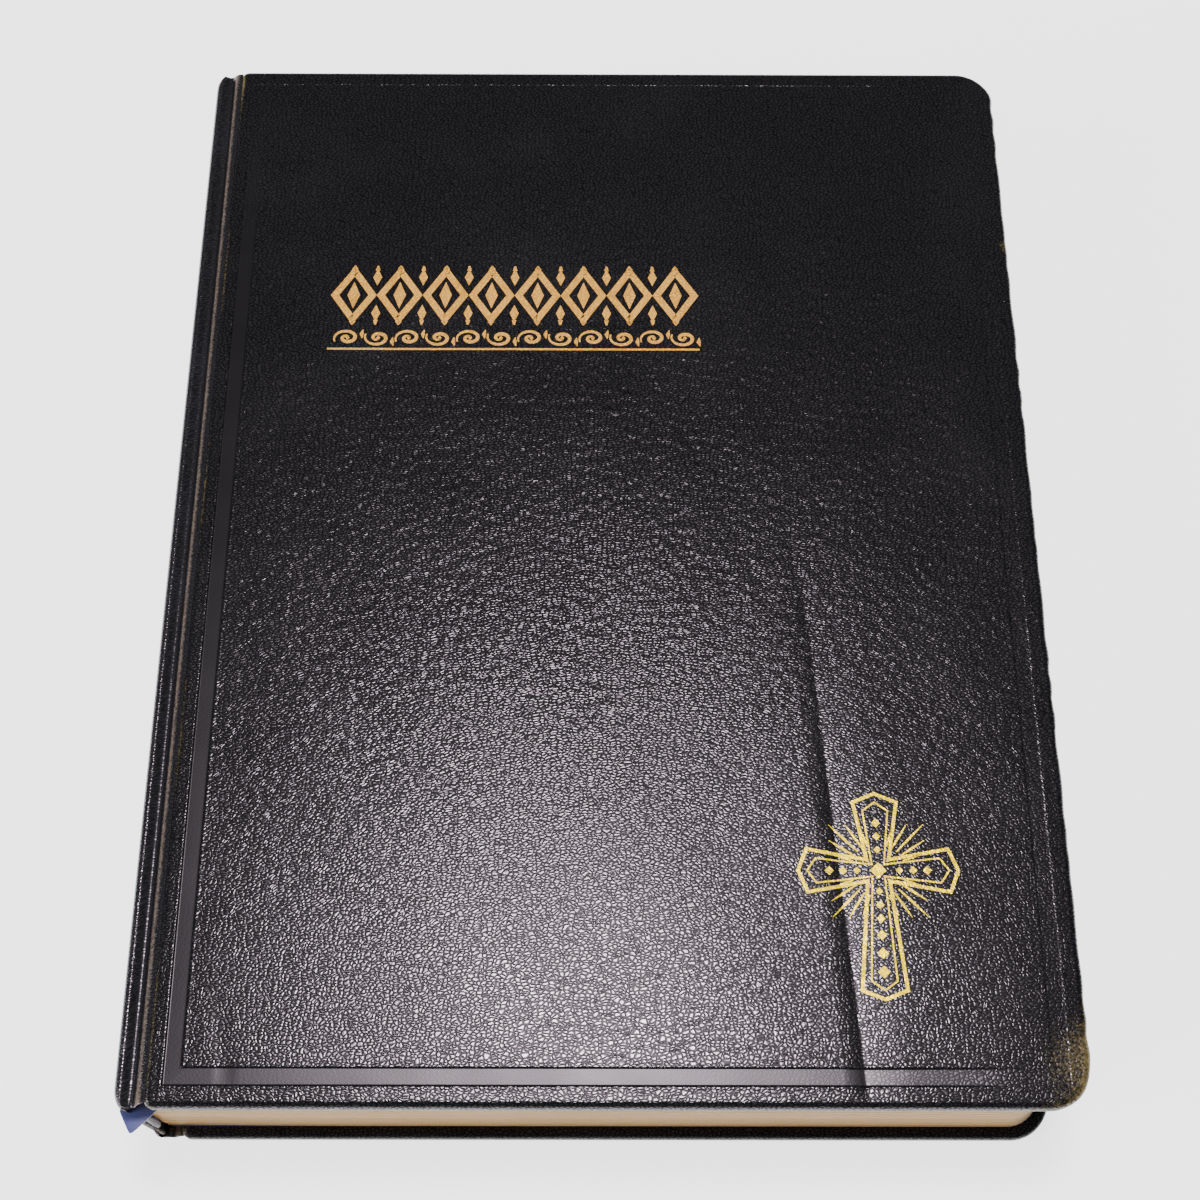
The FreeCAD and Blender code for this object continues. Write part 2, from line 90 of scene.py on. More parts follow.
GRAIN_PER_METRE, GRAIN_STRETCH, GRAIN_DEPTH = 1080.0, (0.8, 1.26, 1.0), 0.00003
RIBBON_RIBS = 21000.0  # radians a metre, so a rib every 0.3 mm


class Paint:
    """A node material with one Principled shader."""

    def __init__(self, name, **sockets):
        self.mat = bpy.data.materials.new(name)
        self.mat.use_nodes = True
        self.tree = self.mat.node_tree
        self.tree.nodes.clear()
        self.shader = self.add("ShaderNodeBsdfPrincipled")
        out = self.add("ShaderNodeOutputMaterial")
        self.tree.links.new(self.shader.outputs["BSDF"], out.inputs["Surface"])
        self.set(**sockets)

    def add(self, kind, inputs=None, **settings):
        """A new node, with its inputs plugged by number or name and its own settings."""
        node = self.tree.nodes.new(kind)
        for key, value in settings.items():
            setattr(node, key, value)
        for key, value in (inputs or {}).items():
            self.plug(node.inputs[key], value)
        return node

    def plug(self, socket, value):
        """Links an output to a socket, or sets the socket's own value."""
        if isinstance(value, bpy.types.NodeSocket):
            self.tree.links.new(value, socket)
        elif isinstance(value, (tuple, list)) and len(socket.default_value) == 4 and len(value) == 3:
            socket.default_value = (*value, 1.0)
        else:
            socket.default_value = value

    def set(self, **sockets):
        """Plugs the shader's sockets. Their names have spaces for the underscores."""
        for key, value in sockets.items():
            self.plug(self.shader.inputs[key.replace("_", " ")], value)

    def where(self):
        return self.add("ShaderNodeTexCoord").outputs["Object"]

    def math(self, operation, a, b=0.0):
        return self.add("ShaderNodeMath", {0: a, 1: b}, operation=operation).outputs[0]

    def span(self, value, low, high, to_low=0.0, to_high=1.0):
        """Value mapped from low..high to the new range, clamped and eased."""
        inputs = {"Value": value, "From Min": low, "From Max": high, "To Min": to_low, "To Max": to_high}
        return self.add("ShaderNodeMapRange", inputs, interpolation_type="SMOOTHSTEP").outputs[0]

    def mix(self, factor, a, b):
        """Colour a, turning into b as the factor goes to 1."""
        node = self.add("ShaderNodeMix", data_type="RGBA")
        for key, value in ((0, factor), (6, a), (7, b)):
            self.plug(node.inputs[key], value)
        return node.outputs[2]

    def noise(self, scale, detail=2.0, rough=0.5, vector=None):
        inputs = {"Vector": vector or self.where(), "Scale": scale, "Detail": detail, "Roughness": rough}
        return self.add("ShaderNodeTexNoise", inputs).outputs["Fac"]

    def stretch(self, scale, vector=None):
        node = self.add("ShaderNodeVectorMath", {0: vector or self.where()}, operation="MULTIPLY")
        node.inputs[1].default_value = scale
        return node.outputs[0]

    def mark(self, name):
        """A number that the mesh carries at each point."""
        return self.add("ShaderNodeAttribute", attribute_name=name).outputs["Fac"]

    def bump(self, height, distance, strength=1.0):
        inputs = {"Height": height, "Distance": distance, "Strength": strength}
        self.set(Normal=self.add("ShaderNodeBump", inputs).outputs[0])

    def warped(self, scale, reach):
        """Object coordinates pushed about by a noise."""
        inputs = {"Vector": self.where(), "Scale": scale, "Detail": 1.0}
        push = self.add("ShaderNodeTexNoise", inputs).outputs["Color"]
        centred = self.add("ShaderNodeVectorMath", {0: push}, operation="SUBTRACT")
        centred.inputs[1].default_value = (0.5, 0.5, 0.5)
        scaled = self.add("ShaderNodeVectorMath", {0: centred.outputs[0]}, operation="SCALE")
        scaled.inputs["Scale"].default_value = reach
        ends = {0: self.where(), 1: scaled.outputs[0]}
        return self.add("ShaderNodeVectorMath", ends, operation="ADD").outputs[0]

    def pebbles(self):
        """Height of the leather's grain, 0 in the creases and 1 on the pebbles, a millimetre apart."""
        x, y, z = self.add("ShaderNodeSeparateXYZ", {0: self.warped(420.0, 0.0014)}).outputs
        lean = self.math("MULTIPLY", z, 0.7)
        flat = self.add("ShaderNodeCombineXYZ", {0: self.math("ADD", x, lean), 1: self.math("ADD", y, lean)})
        cells = self.add(
            "ShaderNodeTexVoronoi",
            {"Vector": self.stretch(GRAIN_STRETCH, flat.outputs[0]), "Scale": GRAIN_PER_METRE},
            voronoi_dimensions="2D",
            feature="DISTANCE_TO_EDGE",
        )
        return self.span(cells.outputs["Distance"], 0.0, 0.4)


def leather(name, tone, worn, grain=1.0):
    """Black leather with bright pebbles and dark creases.

    It is smooth where the mark band is 1, rubbed where wear is and dull where dull is.
    """
    p = Paint(name, Specular_Tint=(0.98, 0.91, 1.0, 1.0))
    pebble = p.pebbles()
    band = p.mark("band")
    wear = p.mark("wear")
    dull = p.mark("dull")
    soft = p.math("SUBTRACT", 1.0, p.math("MULTIPLY", band, 0.86))
    fuzz = p.math("MULTIPLY", p.noise(3600.0, 2.0, 0.6), 0.06)
    height = p.math("ADD", p.math("MULTIPLY", pebble, 0.85), fuzz)
    p.bump(p.math("MULTIPLY", height, soft), GRAIN_DEPTH * grain, 1.0)
    smooth = p.math("MULTIPLY", band, 0.36)
    shine = p.math("ADD", p.math("MULTIPLY", pebble, p.math("SUBTRACT", 1.0, band)), smooth)
    gloss = p.math("SUBTRACT", 1.0, p.math("MULTIPLY", dull, 0.66))
    p.set(Specular_IOR_Level=p.math("MULTIPLY", p.span(shine, 0.05, 0.8, 0.12, 0.86), gloss))
    patch = p.span(p.noise(22.0, 3.0, 0.6), 0.45, 0.75)
    base = p.mix(patch, tone, tuple(1.5 * c + 0.0015 for c in tone))
    rubbed = p.span(p.math("ADD", p.noise(1500.0, 4.0, 0.7), wear), 0.8, 1.3)
    p.set(Base_Color=p.mix(rubbed, base, worn))
    rough = p.math("ADD", p.span(shine, 0.0, 1.0, 0.26, 0.17), p.math("MULTIPLY", dull, 0.2))
    rough = p.math("ADD", rough, p.math("MULTIPLY", p.math("SUBTRACT", p.noise(60.0, 3.0), 0.5), 0.08))
    p.set(Roughness=p.math("ADD", rough, p.math("MULTIPLY", p.math("ADD", rubbed, smooth), 0.2)))
    return p.mat


def foil(name, deep, bright, metal, rough):
    """Gold leaf pressed into the grain, painted deeper in the hollows and brighter on the pebbles as painted
    shade and highlight, with dark specks.
    """
    p = Paint(name, Metallic=metal)
    pebble = p.pebbles()
    cloud = p.noise(240.0, 3.0, 0.6)
    # The colour follows a random mottle and the grain's height: darker in the hollows and lighter on the
    # pebbles, a painted shade and highlight.
    mottle_and_painted_grain_shade = p.math("ADD", p.math("MULTIPLY", pebble, 0.35), p.math("MULTIPLY", cloud, 0.75))
    colour = p.mix(p.span(mottle_and_painted_grain_shade, 0.35, 0.85), deep, bright)
    specks = p.span(p.noise(1900.0, 3.0, 0.7), 0.66, 0.74)
    p.set(Base_Color=p.mix(specks, colour, tuple(0.25 * c for c in deep)))
    p.set(Roughness=p.span(cloud, 0.3, 0.7, rough - 0.08, rough + 0.12))
    p.bump(pebble, 0.00007, 0.6)
    return p.mat


def gilt(name):
    """Trimmed page edges, gilded, with the leaves showing as fine lines."""
    p = Paint(name, Metallic=0.35, Specular_IOR_Level=0.2)
    lines = p.noise(1.0, 3.0, 0.75, p.stretch((14.0, 14.0, 5200.0)))
    wide = p.noise(1.0, 3.0, 0.6, p.stretch((9.0, 9.0, 900.0)))
    smudge = p.noise(34.0, 4.0, 0.6)
    colour = p.mix(p.span(lines, 0.3, 0.7), (0.2, 0.1, 0.014), (0.52, 0.27, 0.036))
    colour = p.mix(p.span(wide, 0.52, 0.78), colour, (0.28, 0.14, 0.025))
    p.set(Base_Color=p.mix(p.span(smudge, 0.56, 0.8), colour, (0.34, 0.2, 0.06)))
    p.set(Roughness=p.span(wide, 0.25, 0.75, 0.32, 0.52))
    p.bump(p.math("ADD", lines, wide), 0.00006, 0.6)
    return p.mat


def fibrous(name, dark, light, scale, rough=0.85, depth=0.00003):
    """Paper, board and foam: fine fibres and a slow mottle."""
    p = Paint(name)
    fibres = p.noise(scale, 5.0, 0.65)
    mottle = p.noise(28.0, 3.0, 0.55)
    both = p.math("ADD", p.math("MULTIPLY", fibres, 0.55), p.math("MULTIPLY", mottle, 0.45))
    p.set(Base_Color=p.mix(p.span(both, 0.35, 0.65), dark, light))
    p.set(Roughness=p.span(fibres, 0.3, 0.7, rough - 0.08, min(rough + 0.08, 1.0)))
    p.bump(fibres, depth, 0.5)
    return p.mat


def woven(name, dark, light, pitch, rough):
    """Threads over and under each other along y and z, painted darker where they pass under."""
    p = Paint(name, Sheen_Weight=0.3)
    _, y, z = p.add("ShaderNodeSeparateXYZ", {0: p.warped(500.0, pitch * 0.3)}).outputs
    waves = [p.math("SINE", p.math("MULTIPLY", part, 2 * math.pi / pitch)) for part in (y, z)]
    over = p.math("ADD", p.math("MULTIPLY", p.math("MULTIPLY", waves[0], waves[1]), 0.5), 0.5)
    slub = p.noise(160.0, 3.0, 0.6)
    # Painted shade: the threads are darker where they dip under and lighter where they lie over, with a
    # random slub in the tone.
    p.set(Base_Color=p.mix(p.math("MULTIPLY", p.math("ADD", over, slub), 0.5), dark, light))
    p.set(Roughness=p.span(slub, 0.3, 0.7, rough - 0.08, rough + 0.1))
    p.bump(over, 0.00005, 0.7)
    return p.mat


def satin(name, dark, light):
    """Ribbon with fine ribs across it, painted darker between the ribs."""
    p = Paint(name, Sheen_Weight=0.35, Anisotropic=0.5)
    along = p.add("ShaderNodeSeparateXYZ", {0: p.where()}).outputs[1]
    wave = p.math("SINE", p.math("MULTIPLY", along, RIBBON_RIBS))
    ribs = p.math("ADD", p.math("MULTIPLY", wave, 0.5), 0.5)
    cloud = p.noise(260.0, 3.0, 0.6)
    # Painted shade between the ribs and painted light on them, with a random cloud in the tone.
    p.set(Base_Color=p.mix(p.math("MULTIPLY", p.math("ADD", ribs, cloud), 0.5), dark, light))
    p.set(Roughness=p.span(cloud, 0.3, 0.7, 0.34, 0.48))
    p.bump(ribs, 0.00003, 0.5)
    return p.mat


def striped(name, first, second, pitch):
    """Silk wound over a cord in two colours."""
    p = Paint(name, Sheen_Weight=0.4)
    height = p.add("ShaderNodeSeparateXYZ", {0: p.where()}).outputs[2]
    stripe = p.math("SINE", p.math("MULTIPLY", height, 2 * math.pi / pitch))
    strands = p.math("SINE", p.math("MULTIPLY", height, 2 * math.pi / (pitch / 6)))
    colour = p.mix(p.span(stripe, -0.15, 0.15), first, second)
    p.set(Base_Color=p.mix(p.span(p.noise(800.0, 3.0), 0.4, 0.9), colour, (0.1, 0.09, 0.08)))
    p.set(Roughness=p.span(strands, -1.0, 1.0, 0.62, 0.42))
    p.bump(strands, 0.00006, 0.8)
    return p.mat


BLACK_LEATHER = leather("black_leather", (0.0034, 0.0033, 0.0036), (0.24, 0.185, 0.06))
# The spine and joints are the same black leather given a lighter, bluer tone: painted light on them.
SPINE_LEATHER_PAINTED_LIGHTER = leather("spine_leather_painted_lighter", (0.009, 0.009, 0.0106), (0.15, 0.11, 0.08), 1.1)
TITLE_GOLD = foil("title_gold", (0.74, 0.36, 0.045), (1.0, 0.58, 0.13), 0.55, 0.5)
EMBLEM_GOLD = foil("emblem_gold", (0.8, 0.57, 0.004), (0.98, 0.8, 0.008), 1.0, 0.42)
GILT = gilt("gilt_page_edges")
PAPER = fibrous("page_paper", (0.66, 0.58, 0.44), (0.82, 0.76, 0.63), 1400.0)
BLUE_PAPER = fibrous("blue_endpaper", (0.035, 0.045, 0.16), (0.075, 0.092, 0.28), 1200.0, 0.75)
BLUE_SATIN = satin("blue_satin", (0.03, 0.036, 0.14), (0.11, 0.125, 0.36))
FOAM = fibrous("padding_foam", (0.5, 0.46, 0.38), (0.7, 0.66, 0.57), 2200.0, 0.95, 0.00008)
BAND_SILK = striped("headband_silk", (0.02, 0.026, 0.11), (0.14, 0.14, 0.17), 0.0022)
NODE_PAINTS = {
    "front_pastedown": BLUE_PAPER,
    "back_pastedown": BLUE_PAPER,
    "spine_lining": BLUE_PAPER,
    "front_board": fibrous("binders_board", (0.2, 0.17, 0.13), (0.36, 0.31, 0.25), 700.0, 0.9),
    "spine_stiffener": fibrous("spine_card", (0.3, 0.24, 0.17), (0.46, 0.39, 0.3), 900.0, 0.9),
    "spine_mull": woven("mull_cloth", (0.42, 0.39, 0.33), (0.78, 0.75, 0.68), 0.0011, 0.85),
    "sewing_tapes": woven("linen_tape", (0.5, 0.46, 0.38), (0.82, 0.78, 0.68), 0.0007, 0.85),
    "sewing_thread": woven("linen_thread", (0.55, 0.5, 0.4), (0.85, 0.8, 0.7), 0.0005, 0.8),
}
NODE_PAINTS["back_board"] = NODE_PAINTS["front_board"]

# ---------------------------------------------------------------- mesh tools


def make_piece(name, points, faces, paints, slots=None, marks=None, crisp=40.0, clean=True):
    """A mesh object from points in millimetres. Marks are numbers for each point, slots for each face."""
    mesh = bpy.data.meshes.new(name)
    mesh.from_pydata((np.asarray(points, float) * MM).tolist(), [], faces)
    for paint in paints:
        mesh.materials.append(paint)
    if slots is not None:
        mesh.polygons.foreach_set("material_index", np.asarray(slots, np.int32))
    for key, values in (marks or {}).items():
        mesh.attributes.new(key, "FLOAT", "POINT").data.foreach_set("value", np.asarray(values, np.float32))
    if clean:
        bm = bmesh.new()
        bm.from_mesh(mesh)
        bmesh.ops.remove_doubles(bm, verts=bm.verts, dist=1e-6)
        bmesh.ops.dissolve_degenerate(bm, edges=bm.edges, dist=1e-7)
        bmesh.ops.recalc_face_normals(bm, faces=bm.faces)
        bm.to_mesh(mesh)
        bm.free()
    mesh.polygons.foreach_set("use_smooth", [True] * len(mesh.polygons))
    mesh.set_sharp_from_angle(angle=math.radians(crisp))
    mesh.update()
    piece = bpy.data.objects.new(name, mesh)
    bpy.context.scene.collection.objects.link(piece)
    return piece


def grid_faces(rows, cols, start=0):
    """Quads of a grid whose points are counted row by row."""
    i, j = np.meshgrid(np.arange(rows - 1), np.arange(cols - 1), indexing="ij")
    a = start + i * cols + j
    return np.stack([a, a + 1, a + cols + 1, a + cols], -1).reshape(-1, 4).tolist()


def grid_rim(rows, cols, start=0):
    """Indices round a grid's border, in order."""
    index = start + np.arange(rows * cols).reshape(rows, cols)
    return np.concatenate([index[0, :], index[1:, -1], index[-1, -2::-1], index[-2:0:-1, 0]])


def join_rings(a, b):
    """Quads between two rings of the same length."""
    a, b = np.asarray(a), np.asarray(b)
    return np.stack([a, np.roll(a, -1), np.roll(b, -1), b], -1).tolist()


def tube_faces(rings, count):
    """Quads between rings of count points each, with a face over both ends."""
    faces = []
    for first in range(0, (rings - 1) * count, count):
        ring = first + np.arange(count)
        faces += join_rings(ring, ring + count)
    last = (rings - 1) * count
    return faces + [list(range(count))[::-1], list(range(last, last + count))]


def spaced(low, high, coarse, fine, places):
    """Positions from low to high, fine near each (place, reach) and coarse elsewhere."""
    t = np.linspace(low, high, 8001)
    step = np.full(t.shape, float(coarse))
    for place, reach in places:
        away = np.clip((np.abs(t - place) - reach) / (5 * coarse), 0, 1)
        step = np.minimum(step, fine + (coarse - fine) * away)
    count = np.concatenate([[0], np.cumsum(0.5 * (1 / step[1:] + 1 / step[:-1]) * (t[1] - t[0]))])
    return np.interp(np.linspace(0, count[-1], int(count[-1]) + 2), count, t)


class Plan:
    """A rectangle with round corners: one radius on the spine side, another at the fore-edge."""

    def __init__(self, low, high, spine_radius, fore_radius):
        self.x0, self.x1, self.y0, self.y1 = low[0], high[0], low[1], high[1]
        self.corners = [
            (sx, sy, r, (self.x0 + r if sx < 0 else self.x1 - r), (self.y0 + r if sy < 0 else self.y1 - r))
            for sx, r in ((-1, spine_radius), (1, fore_radius))
            for sy in (-1, 1)
        ]

    def grid(self, xs, ys):
        """The grid with its corners rounded, and each point's distance in from the outline."""
        x, y = np.meshgrid(xs, ys)
        u, v = x.copy(), y.copy()
        inside = np.minimum.reduce([x - self.x0, self.x1 - x, y - self.y0, self.y1 - y])
        for sx, sy, r, cx, cy in self.corners:
            a, b = (x - cx) * sx / r, (y - cy) * sy / r
            here = (a > 0) & (b > 0)
            p = a * np.sqrt(np.clip(1 - b * b / 2, 0, 1))
            q = b * np.sqrt(np.clip(1 - a * a / 2, 0, 1))
            u, v = np.where(here, cx + sx * r * p, u), np.where(here, cy + sy * r * q, v)
            inside = np.where(here, r * (1 - np.hypot(p, q)), inside)
        return u, v, np.maximum(inside, 0)

    def depth(self, x, y):
        """Distance in from the outline at any point."""
        inside = np.minimum.reduce([x - self.x0, self.x1 - x, y - self.y0, self.y1 - y])
        for sx, sy, r, cx, cy in self.corners:
            a, b = (x - cx) * sx, (y - cy) * sy
            inside = np.where((a > 0) & (b > 0), r - np.hypot(a, b), inside)
        return np.maximum(inside, 0)

    def inset(self, x, y, by):
        """Points of the outline moved in by a distance."""
        u, v = np.clip(x, self.x0 + by, self.x1 - by), np.clip(y, self.y0 + by, self.y1 - by)
        for sx, sy, r, cx, cy in self.corners:
            a, b = (x - cx) * sx, (y - cy) * sy
            here = (a > 0) & (b > 0) & (by < r)
            far = np.maximum(np.hypot(a, b), 1e-9)
            u = np.where(here, cx + sx * a / far * (r - by), u)
            v = np.where(here, cy + sy * b / far * (r - by), v)
        return u, v


# ---------------------------------------------------------------- covers

FRONT_LOW, FRONT_HIGH = box_mm("front_cover_leather")
BACK_HIGH = box_mm("back_cover_leather")[1]
COVER_THICK = FRONT_HIGH[2] - FRONT_LOW[2]
SPINE_CORNER, FORE_CORNER = 2.5, 10.5
COVER = Plan(FRONT_LOW, FRONT_HIGH, SPINE_CORNER, FORE_CORNER)
# The section of a cover. Heights are over its inner face.
EDGE_ROUND = 1.7
PAD_FOOT, PAD_TOP, PAD_MARGIN = 3.22, 4.0, 0.8
WALL_FOOT = 0.8
TURN_IN, TURN_THICK = 6.0, 0.68
POCKET_INSET, POCKET_GAP = 0.75, 0.02

# The blind-tooled band round the cover: its outer walls, and a small lip along both sides.
BAND_X = (FRONT_LOW[0] + 4.2, FRONT_HIGH[0] - 5.0)
BAND_Y = (FRONT_LOW[1] + 5.0, FRONT_HIGH[1] - 5.0)
BAND_WIDE, BAND_DEEP, BAND_WALL = 4.4, 0.3, 0.35
LIP_HIGH, LIP_WIDE = 0.03, 0.3

# Use and wear on the front cover: the crease, a slanting scored line, a chip and a rubbed corner.
CREASE_Y = np.array([-152.0, -147.4, -113.2, -75.6, -32.5, 26.1, 60.0])
CREASE_X = np.array([61.7, 61.4, 59.0, 56.1, 53.0, 44.8, 38.0])
CREASE_DEEP, CREASE_LEFT, CREASE_RIGHT = 0.3, 5.0, 11.0
SCORE_HEAD, SCORE_FOOT, SCORE_DEEP = (-91.6, -125.5), (-87.8, -148.7), 0.12
CHIP, CHIP_REACH = (113.2, 88.9), 1.7
RUBBED_CORNER, RUBBED_REACH = (110.0, -143.5), 14.0


def tooling(x, y):
    """How deep the band is pressed, 0 to 1, and how far in from its outer wall each point is.

    It is crisp along the spine and the left of the foot, and fades at the head and the fore-edge.
    """
    b = np.minimum.reduce([x - BAND_X[0], BAND_X[1] - x, y - BAND_Y[0], BAND_Y[1] - y])
    pressed = ease(b / BAND_WALL) * (1 - ease((b - BAND_WIDE + BAND_WALL) / BAND_WALL))
    foot = bell(x - 108, 40) * bell(y + 145, 30)
    head = bell(y - 148, 40)
    side = ease((x - 80) / 30)
    return pressed * np.clip(1 - 0.55 * foot - 0.8 * head - 0.85 * side, 0.12, 1), b


def crease(x, y, d):
    """Depth of the bend across the lower right: steep on its left, slow on its right, deeper downwards."""
    off = x - np.interp(y, CREASE_Y, CREASE_X)
    force = ease((30.0 - y) / 130.0)
    reach = np.where(off < 0, CREASE_LEFT, CREASE_RIGHT)
    valley = np.clip(1 - np.abs(off) / reach, 0, 1) ** 1.6
    line = 0.03 * bell(off, 1.1)
    return (CREASE_DEEP * valley + line) * force * (0.25 + 0.75 * ease(d / 6.0))


def score(x, y):
    """Depth of the short slanting line pressed in at the left of the foot."""
    share = (SCORE_HEAD[1] - y) / (SCORE_HEAD[1] - SCORE_FOOT[1])
    off = x - SCORE_HEAD[0] - (SCORE_FOOT[0] - SCORE_HEAD[0]) * share
    return SCORE_DEEP * ease((-118.0 - y) / 20.0) * bell(off, 0.9)


def cover_rise(x, y, d, front):
    """Height of a cover's outer face over its inner face, where d is the distance in from its outline."""
    h = COVER_THICK - 0.09 - 0.2 * fade(d, 5.0)
    e = np.clip(EDGE_ROUND - d, 0, EDGE_ROUND)
    h = h - (EDGE_ROUND - np.sqrt(np.maximum(EDGE_ROUND**2 - e**2, 0)))
    calm = ease(d / 14.0)
    h = h + 0.05 * calm * np.sin(x / 17.0 + 1.3) * np.sin(y / 23.0 + 0.4)
    h = h + 0.035 * calm * np.sin(x / 9.5 + y / 14.5 + (0.8 if front else 2.1))
    pressed, b = tooling(x, y)
    h = h - BAND_DEEP * pressed
    lips = bell(b + BAND_WALL, LIP_WIDE) + bell(b - BAND_WIDE - BAND_WALL, LIP_WIDE)
    h = h + LIP_HIGH * lips * (1 - 0.95 * ease((x - 80) / 25))
    if front:
        h = h - crease(x, y, d) - score(x, y)
    return h


def cover_z(height, front):
    """Z of a height over a cover's inner face. The back cover is turned over."""
    return FRONT_LOW[2] + height if front else BACK_HIGH[2] - height


def front_surface(x, y):
    """Z of the front cover's outer face."""
    return cover_z(cover_rise(x, y, COVER.depth(x, y), True), True)


def cover_wear(x, y, d, front):
    """How rubbed the leather is: along the rounded edge, at the corners and on the ridge by the joint."""
    corner = np.zeros_like(x)
    for sx, sy, r, cx, cy in COVER.corners:
        away = np.hypot(x - cx - sx * r * 0.7, y - cy - sy * r * 0.7)
        corner = np.maximum(corner, bell(away, 11.0))
    wear = 0.3 * fade(d, 1.1) * (0.6 + 1.4 * corner)
    wear = wear + 0.34 * bell(x - COVER.x0 - 0.8, 1.1)
    wear = wear + 0.12 * fade(d, 1.6) * (x > COVER.x1 - 6)
    if front:
        wear = wear + 0.5 * bell(np.hypot(x - CHIP[0], y - CHIP[1]), CHIP_REACH)
        wear = wear + 0.9 * bell(np.hypot(x - RUBBED_CORNER[0], y - RUBBED_CORNER[1]), RUBBED_REACH)
    return wear * (0.7 + 0.3 * np.sin(y / 11.0 + x / 19.0))


def cover_steps(low, high, band, coarse, places=()):
    """Grid positions across a cover: fine at its edges, at the walls of the band and at the places."""
    walls = (band[0], band[0] + BAND_WIDE, band[1], band[1] - BAND_WIDE)
    places = [(low, 1.6), (high, 1.6), *places]
    places += [(wall, 0.5) for wall in walls]
    return spaced(low, high, coarse, 0.17, places)


def cover_leather(name, front):
    """The leather over one board, turned in round the inner face, with a pocket for the pad and board."""
    xs = cover_steps(COVER.x0, COVER.x1, BAND_X, 2.0, [(52.0, 9.0)] if front else [])
    ys = cover_steps(COVER.y0, COVER.y1, BAND_Y, 2.2)
    u, v, d = COVER.grid(xs, ys)
    rows, cols = u.shape
    h = cover_rise(u, v, d, front)
    ripple = np.sin(v / 1.9 + 2.0 * np.sin(v / 7.0)) * (0.4 + 0.6 * np.sin(v / 31.0) ** 2)
    u = u + 0.22 * ripple * fade(d, 2.0) * ease((u - COVER.x1 + 14.0) / 10.0)
    points = [np.stack([u, v, h], -1).reshape(-1, 3)]
    faces = grid_faces(rows, cols)
    last = grid_rim(rows, cols)
    rim_x, rim_y, rim_h = points[0][last].T
    total = rows * cols
    # Each step of the section from the rim inwards: how far in from the outline, and how high.
    wall = [(0.0, WALL_FOOT + (rim_h - WALL_FOOT) * share) for share in (0.62, 0.3)]
    rounding = [(0.12, WALL_FOOT), (0.35, 0.42), (0.75, 0.1), (1.3, 0.0)]
    turned_in = [(TURN_IN - 0.3, 0.0), (TURN_IN, 0.12), (TURN_IN, TURN_THICK), (POCKET_INSET, TURN_THICK)]
    pocket = [(POCKET_INSET, PAD_TOP + POCKET_GAP)]
    for by, level in wall + rounding + turned_in + pocket:
        x, y = COVER.inset(rim_x, rim_y, by)
        points.append(np.stack([x, y, np.broadcast_to(level, x.shape)], -1))
        ring = total + np.arange(len(last))
        faces += join_rings(last, ring)
        total += len(ring)
        last = ring
    faces.append(last[::-1].tolist())
    points = np.concatenate(points)
    x, y, height = points.T
    pressed, _ = tooling(x, y)
    marks = {
        "band": np.where(height > 3.0, pressed, 0.0),
        "wear": cover_wear(x, y, COVER.depth(x, y), front),
        "dull": 0.8 * ease((COVER_THICK - 1.2 - height) / 1.2),
    }
    points = np.stack([x, y, cover_z(height, front)], -1)
    piece = make_piece(name, points, faces, [BLACK_LEATHER], marks=marks)
    return piece


def cover_pad(name, front):
    """The foam between board and leather, thinned towards its edges."""
    plan = Plan(
        FRONT_LOW + PAD_MARGIN, FRONT_HIGH - PAD_MARGIN, SPINE_CORNER - PAD_MARGIN, FORE_CORNER - PAD_MARGIN
    )
    xs = spaced(plan.x0, plan.x1, 14.0, 0.8, [(plan.x0, 2.0), (plan.x1, 2.0)])
    ys = spaced(plan.y0, plan.y1, 14.0, 0.8, [(plan.y0, 2.0), (plan.y1, 2.0)])
    u, v, d = plan.grid(xs, ys)
    rows, cols = u.shape
    size = rows * cols
    top = PAD_TOP - 0.45 * fade(d, 1.2)
    low = np.full(u.shape, PAD_FOOT)
    layers = [np.stack([u, v, cover_z(height, front)], -1).reshape(-1, 3) for height in (top, low)]
    points = np.concatenate(layers)
    faces = grid_faces(rows, cols) + [f[::-1] for f in grid_faces(rows, cols, size)]
    faces += join_rings(grid_rim(rows, cols), grid_rim(rows, cols, size))
    piece = make_piece(name, points, faces, [FOAM], crisp=50.0)
    return piece


for side, front in (("front", True), ("back", False)):
    for piece, node in (
        (cover_leather(f"{side}_cover_skin", front), f"{side}_cover_leather"),
        (cover_pad(f"{side}_cover_foam", front), f"{side}_padding"),
    ):
        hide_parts(node)
        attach(piece, f"{side}_cover")

# ---------------------------------------------------------------- joints and spine

SPINE_LOW, SPINE_HIGH = box_mm("spine_leather")
MIDDLE = 0.5 * (SPINE_LOW[2] + SPINE_HIGH[2])
SPINE_HALF = 0.5 * (SPINE_HIGH[2] - SPINE_LOW[2])
SPINE_BULGE = 1.6
SPINE_RADIUS = (SPINE_HALF**2 + SPINE_BULGE**2) / (2 * SPINE_BULGE)
SPINE_CORD = 0.65  # radius of the turn over the cord at both ends
TIP_Y = 150.0  # just past both ends
# Where the joint's crest, groove and ridge run along the book.
CREST_X, GROOVE_X, RIDGE_X = (SPINE_LOW[0] + off for off in (0.9, 3.5, 5.8))
# The joint's section, measured from the spine's back and from the top of the front cover.
JOINT_START = -12.5
JOINT_KNOTS = [
    (-0.05, -9.0), (-0.48, -5.8), (-0.45, -3.8), (0.15, -2.25), (1.1, -1.7), (2.1, -2.0), (2.9, -2.55),
    (3.7, -2.85), (4.4, -2.7), (5.0, -2.0), (5.45, -1.3), (6.0, -0.9), (6.9, -0.6), (7.7, -0.5),
]


def spine_x(z, depth=0.0):
    """X of the rounded back at a height, some way in from its outer face."""
    reach = SPINE_RADIUS - depth
    return SPINE_LOW[0] + SPINE_RADIUS - np.sqrt(reach**2 - (z - MIDDLE) ** 2)


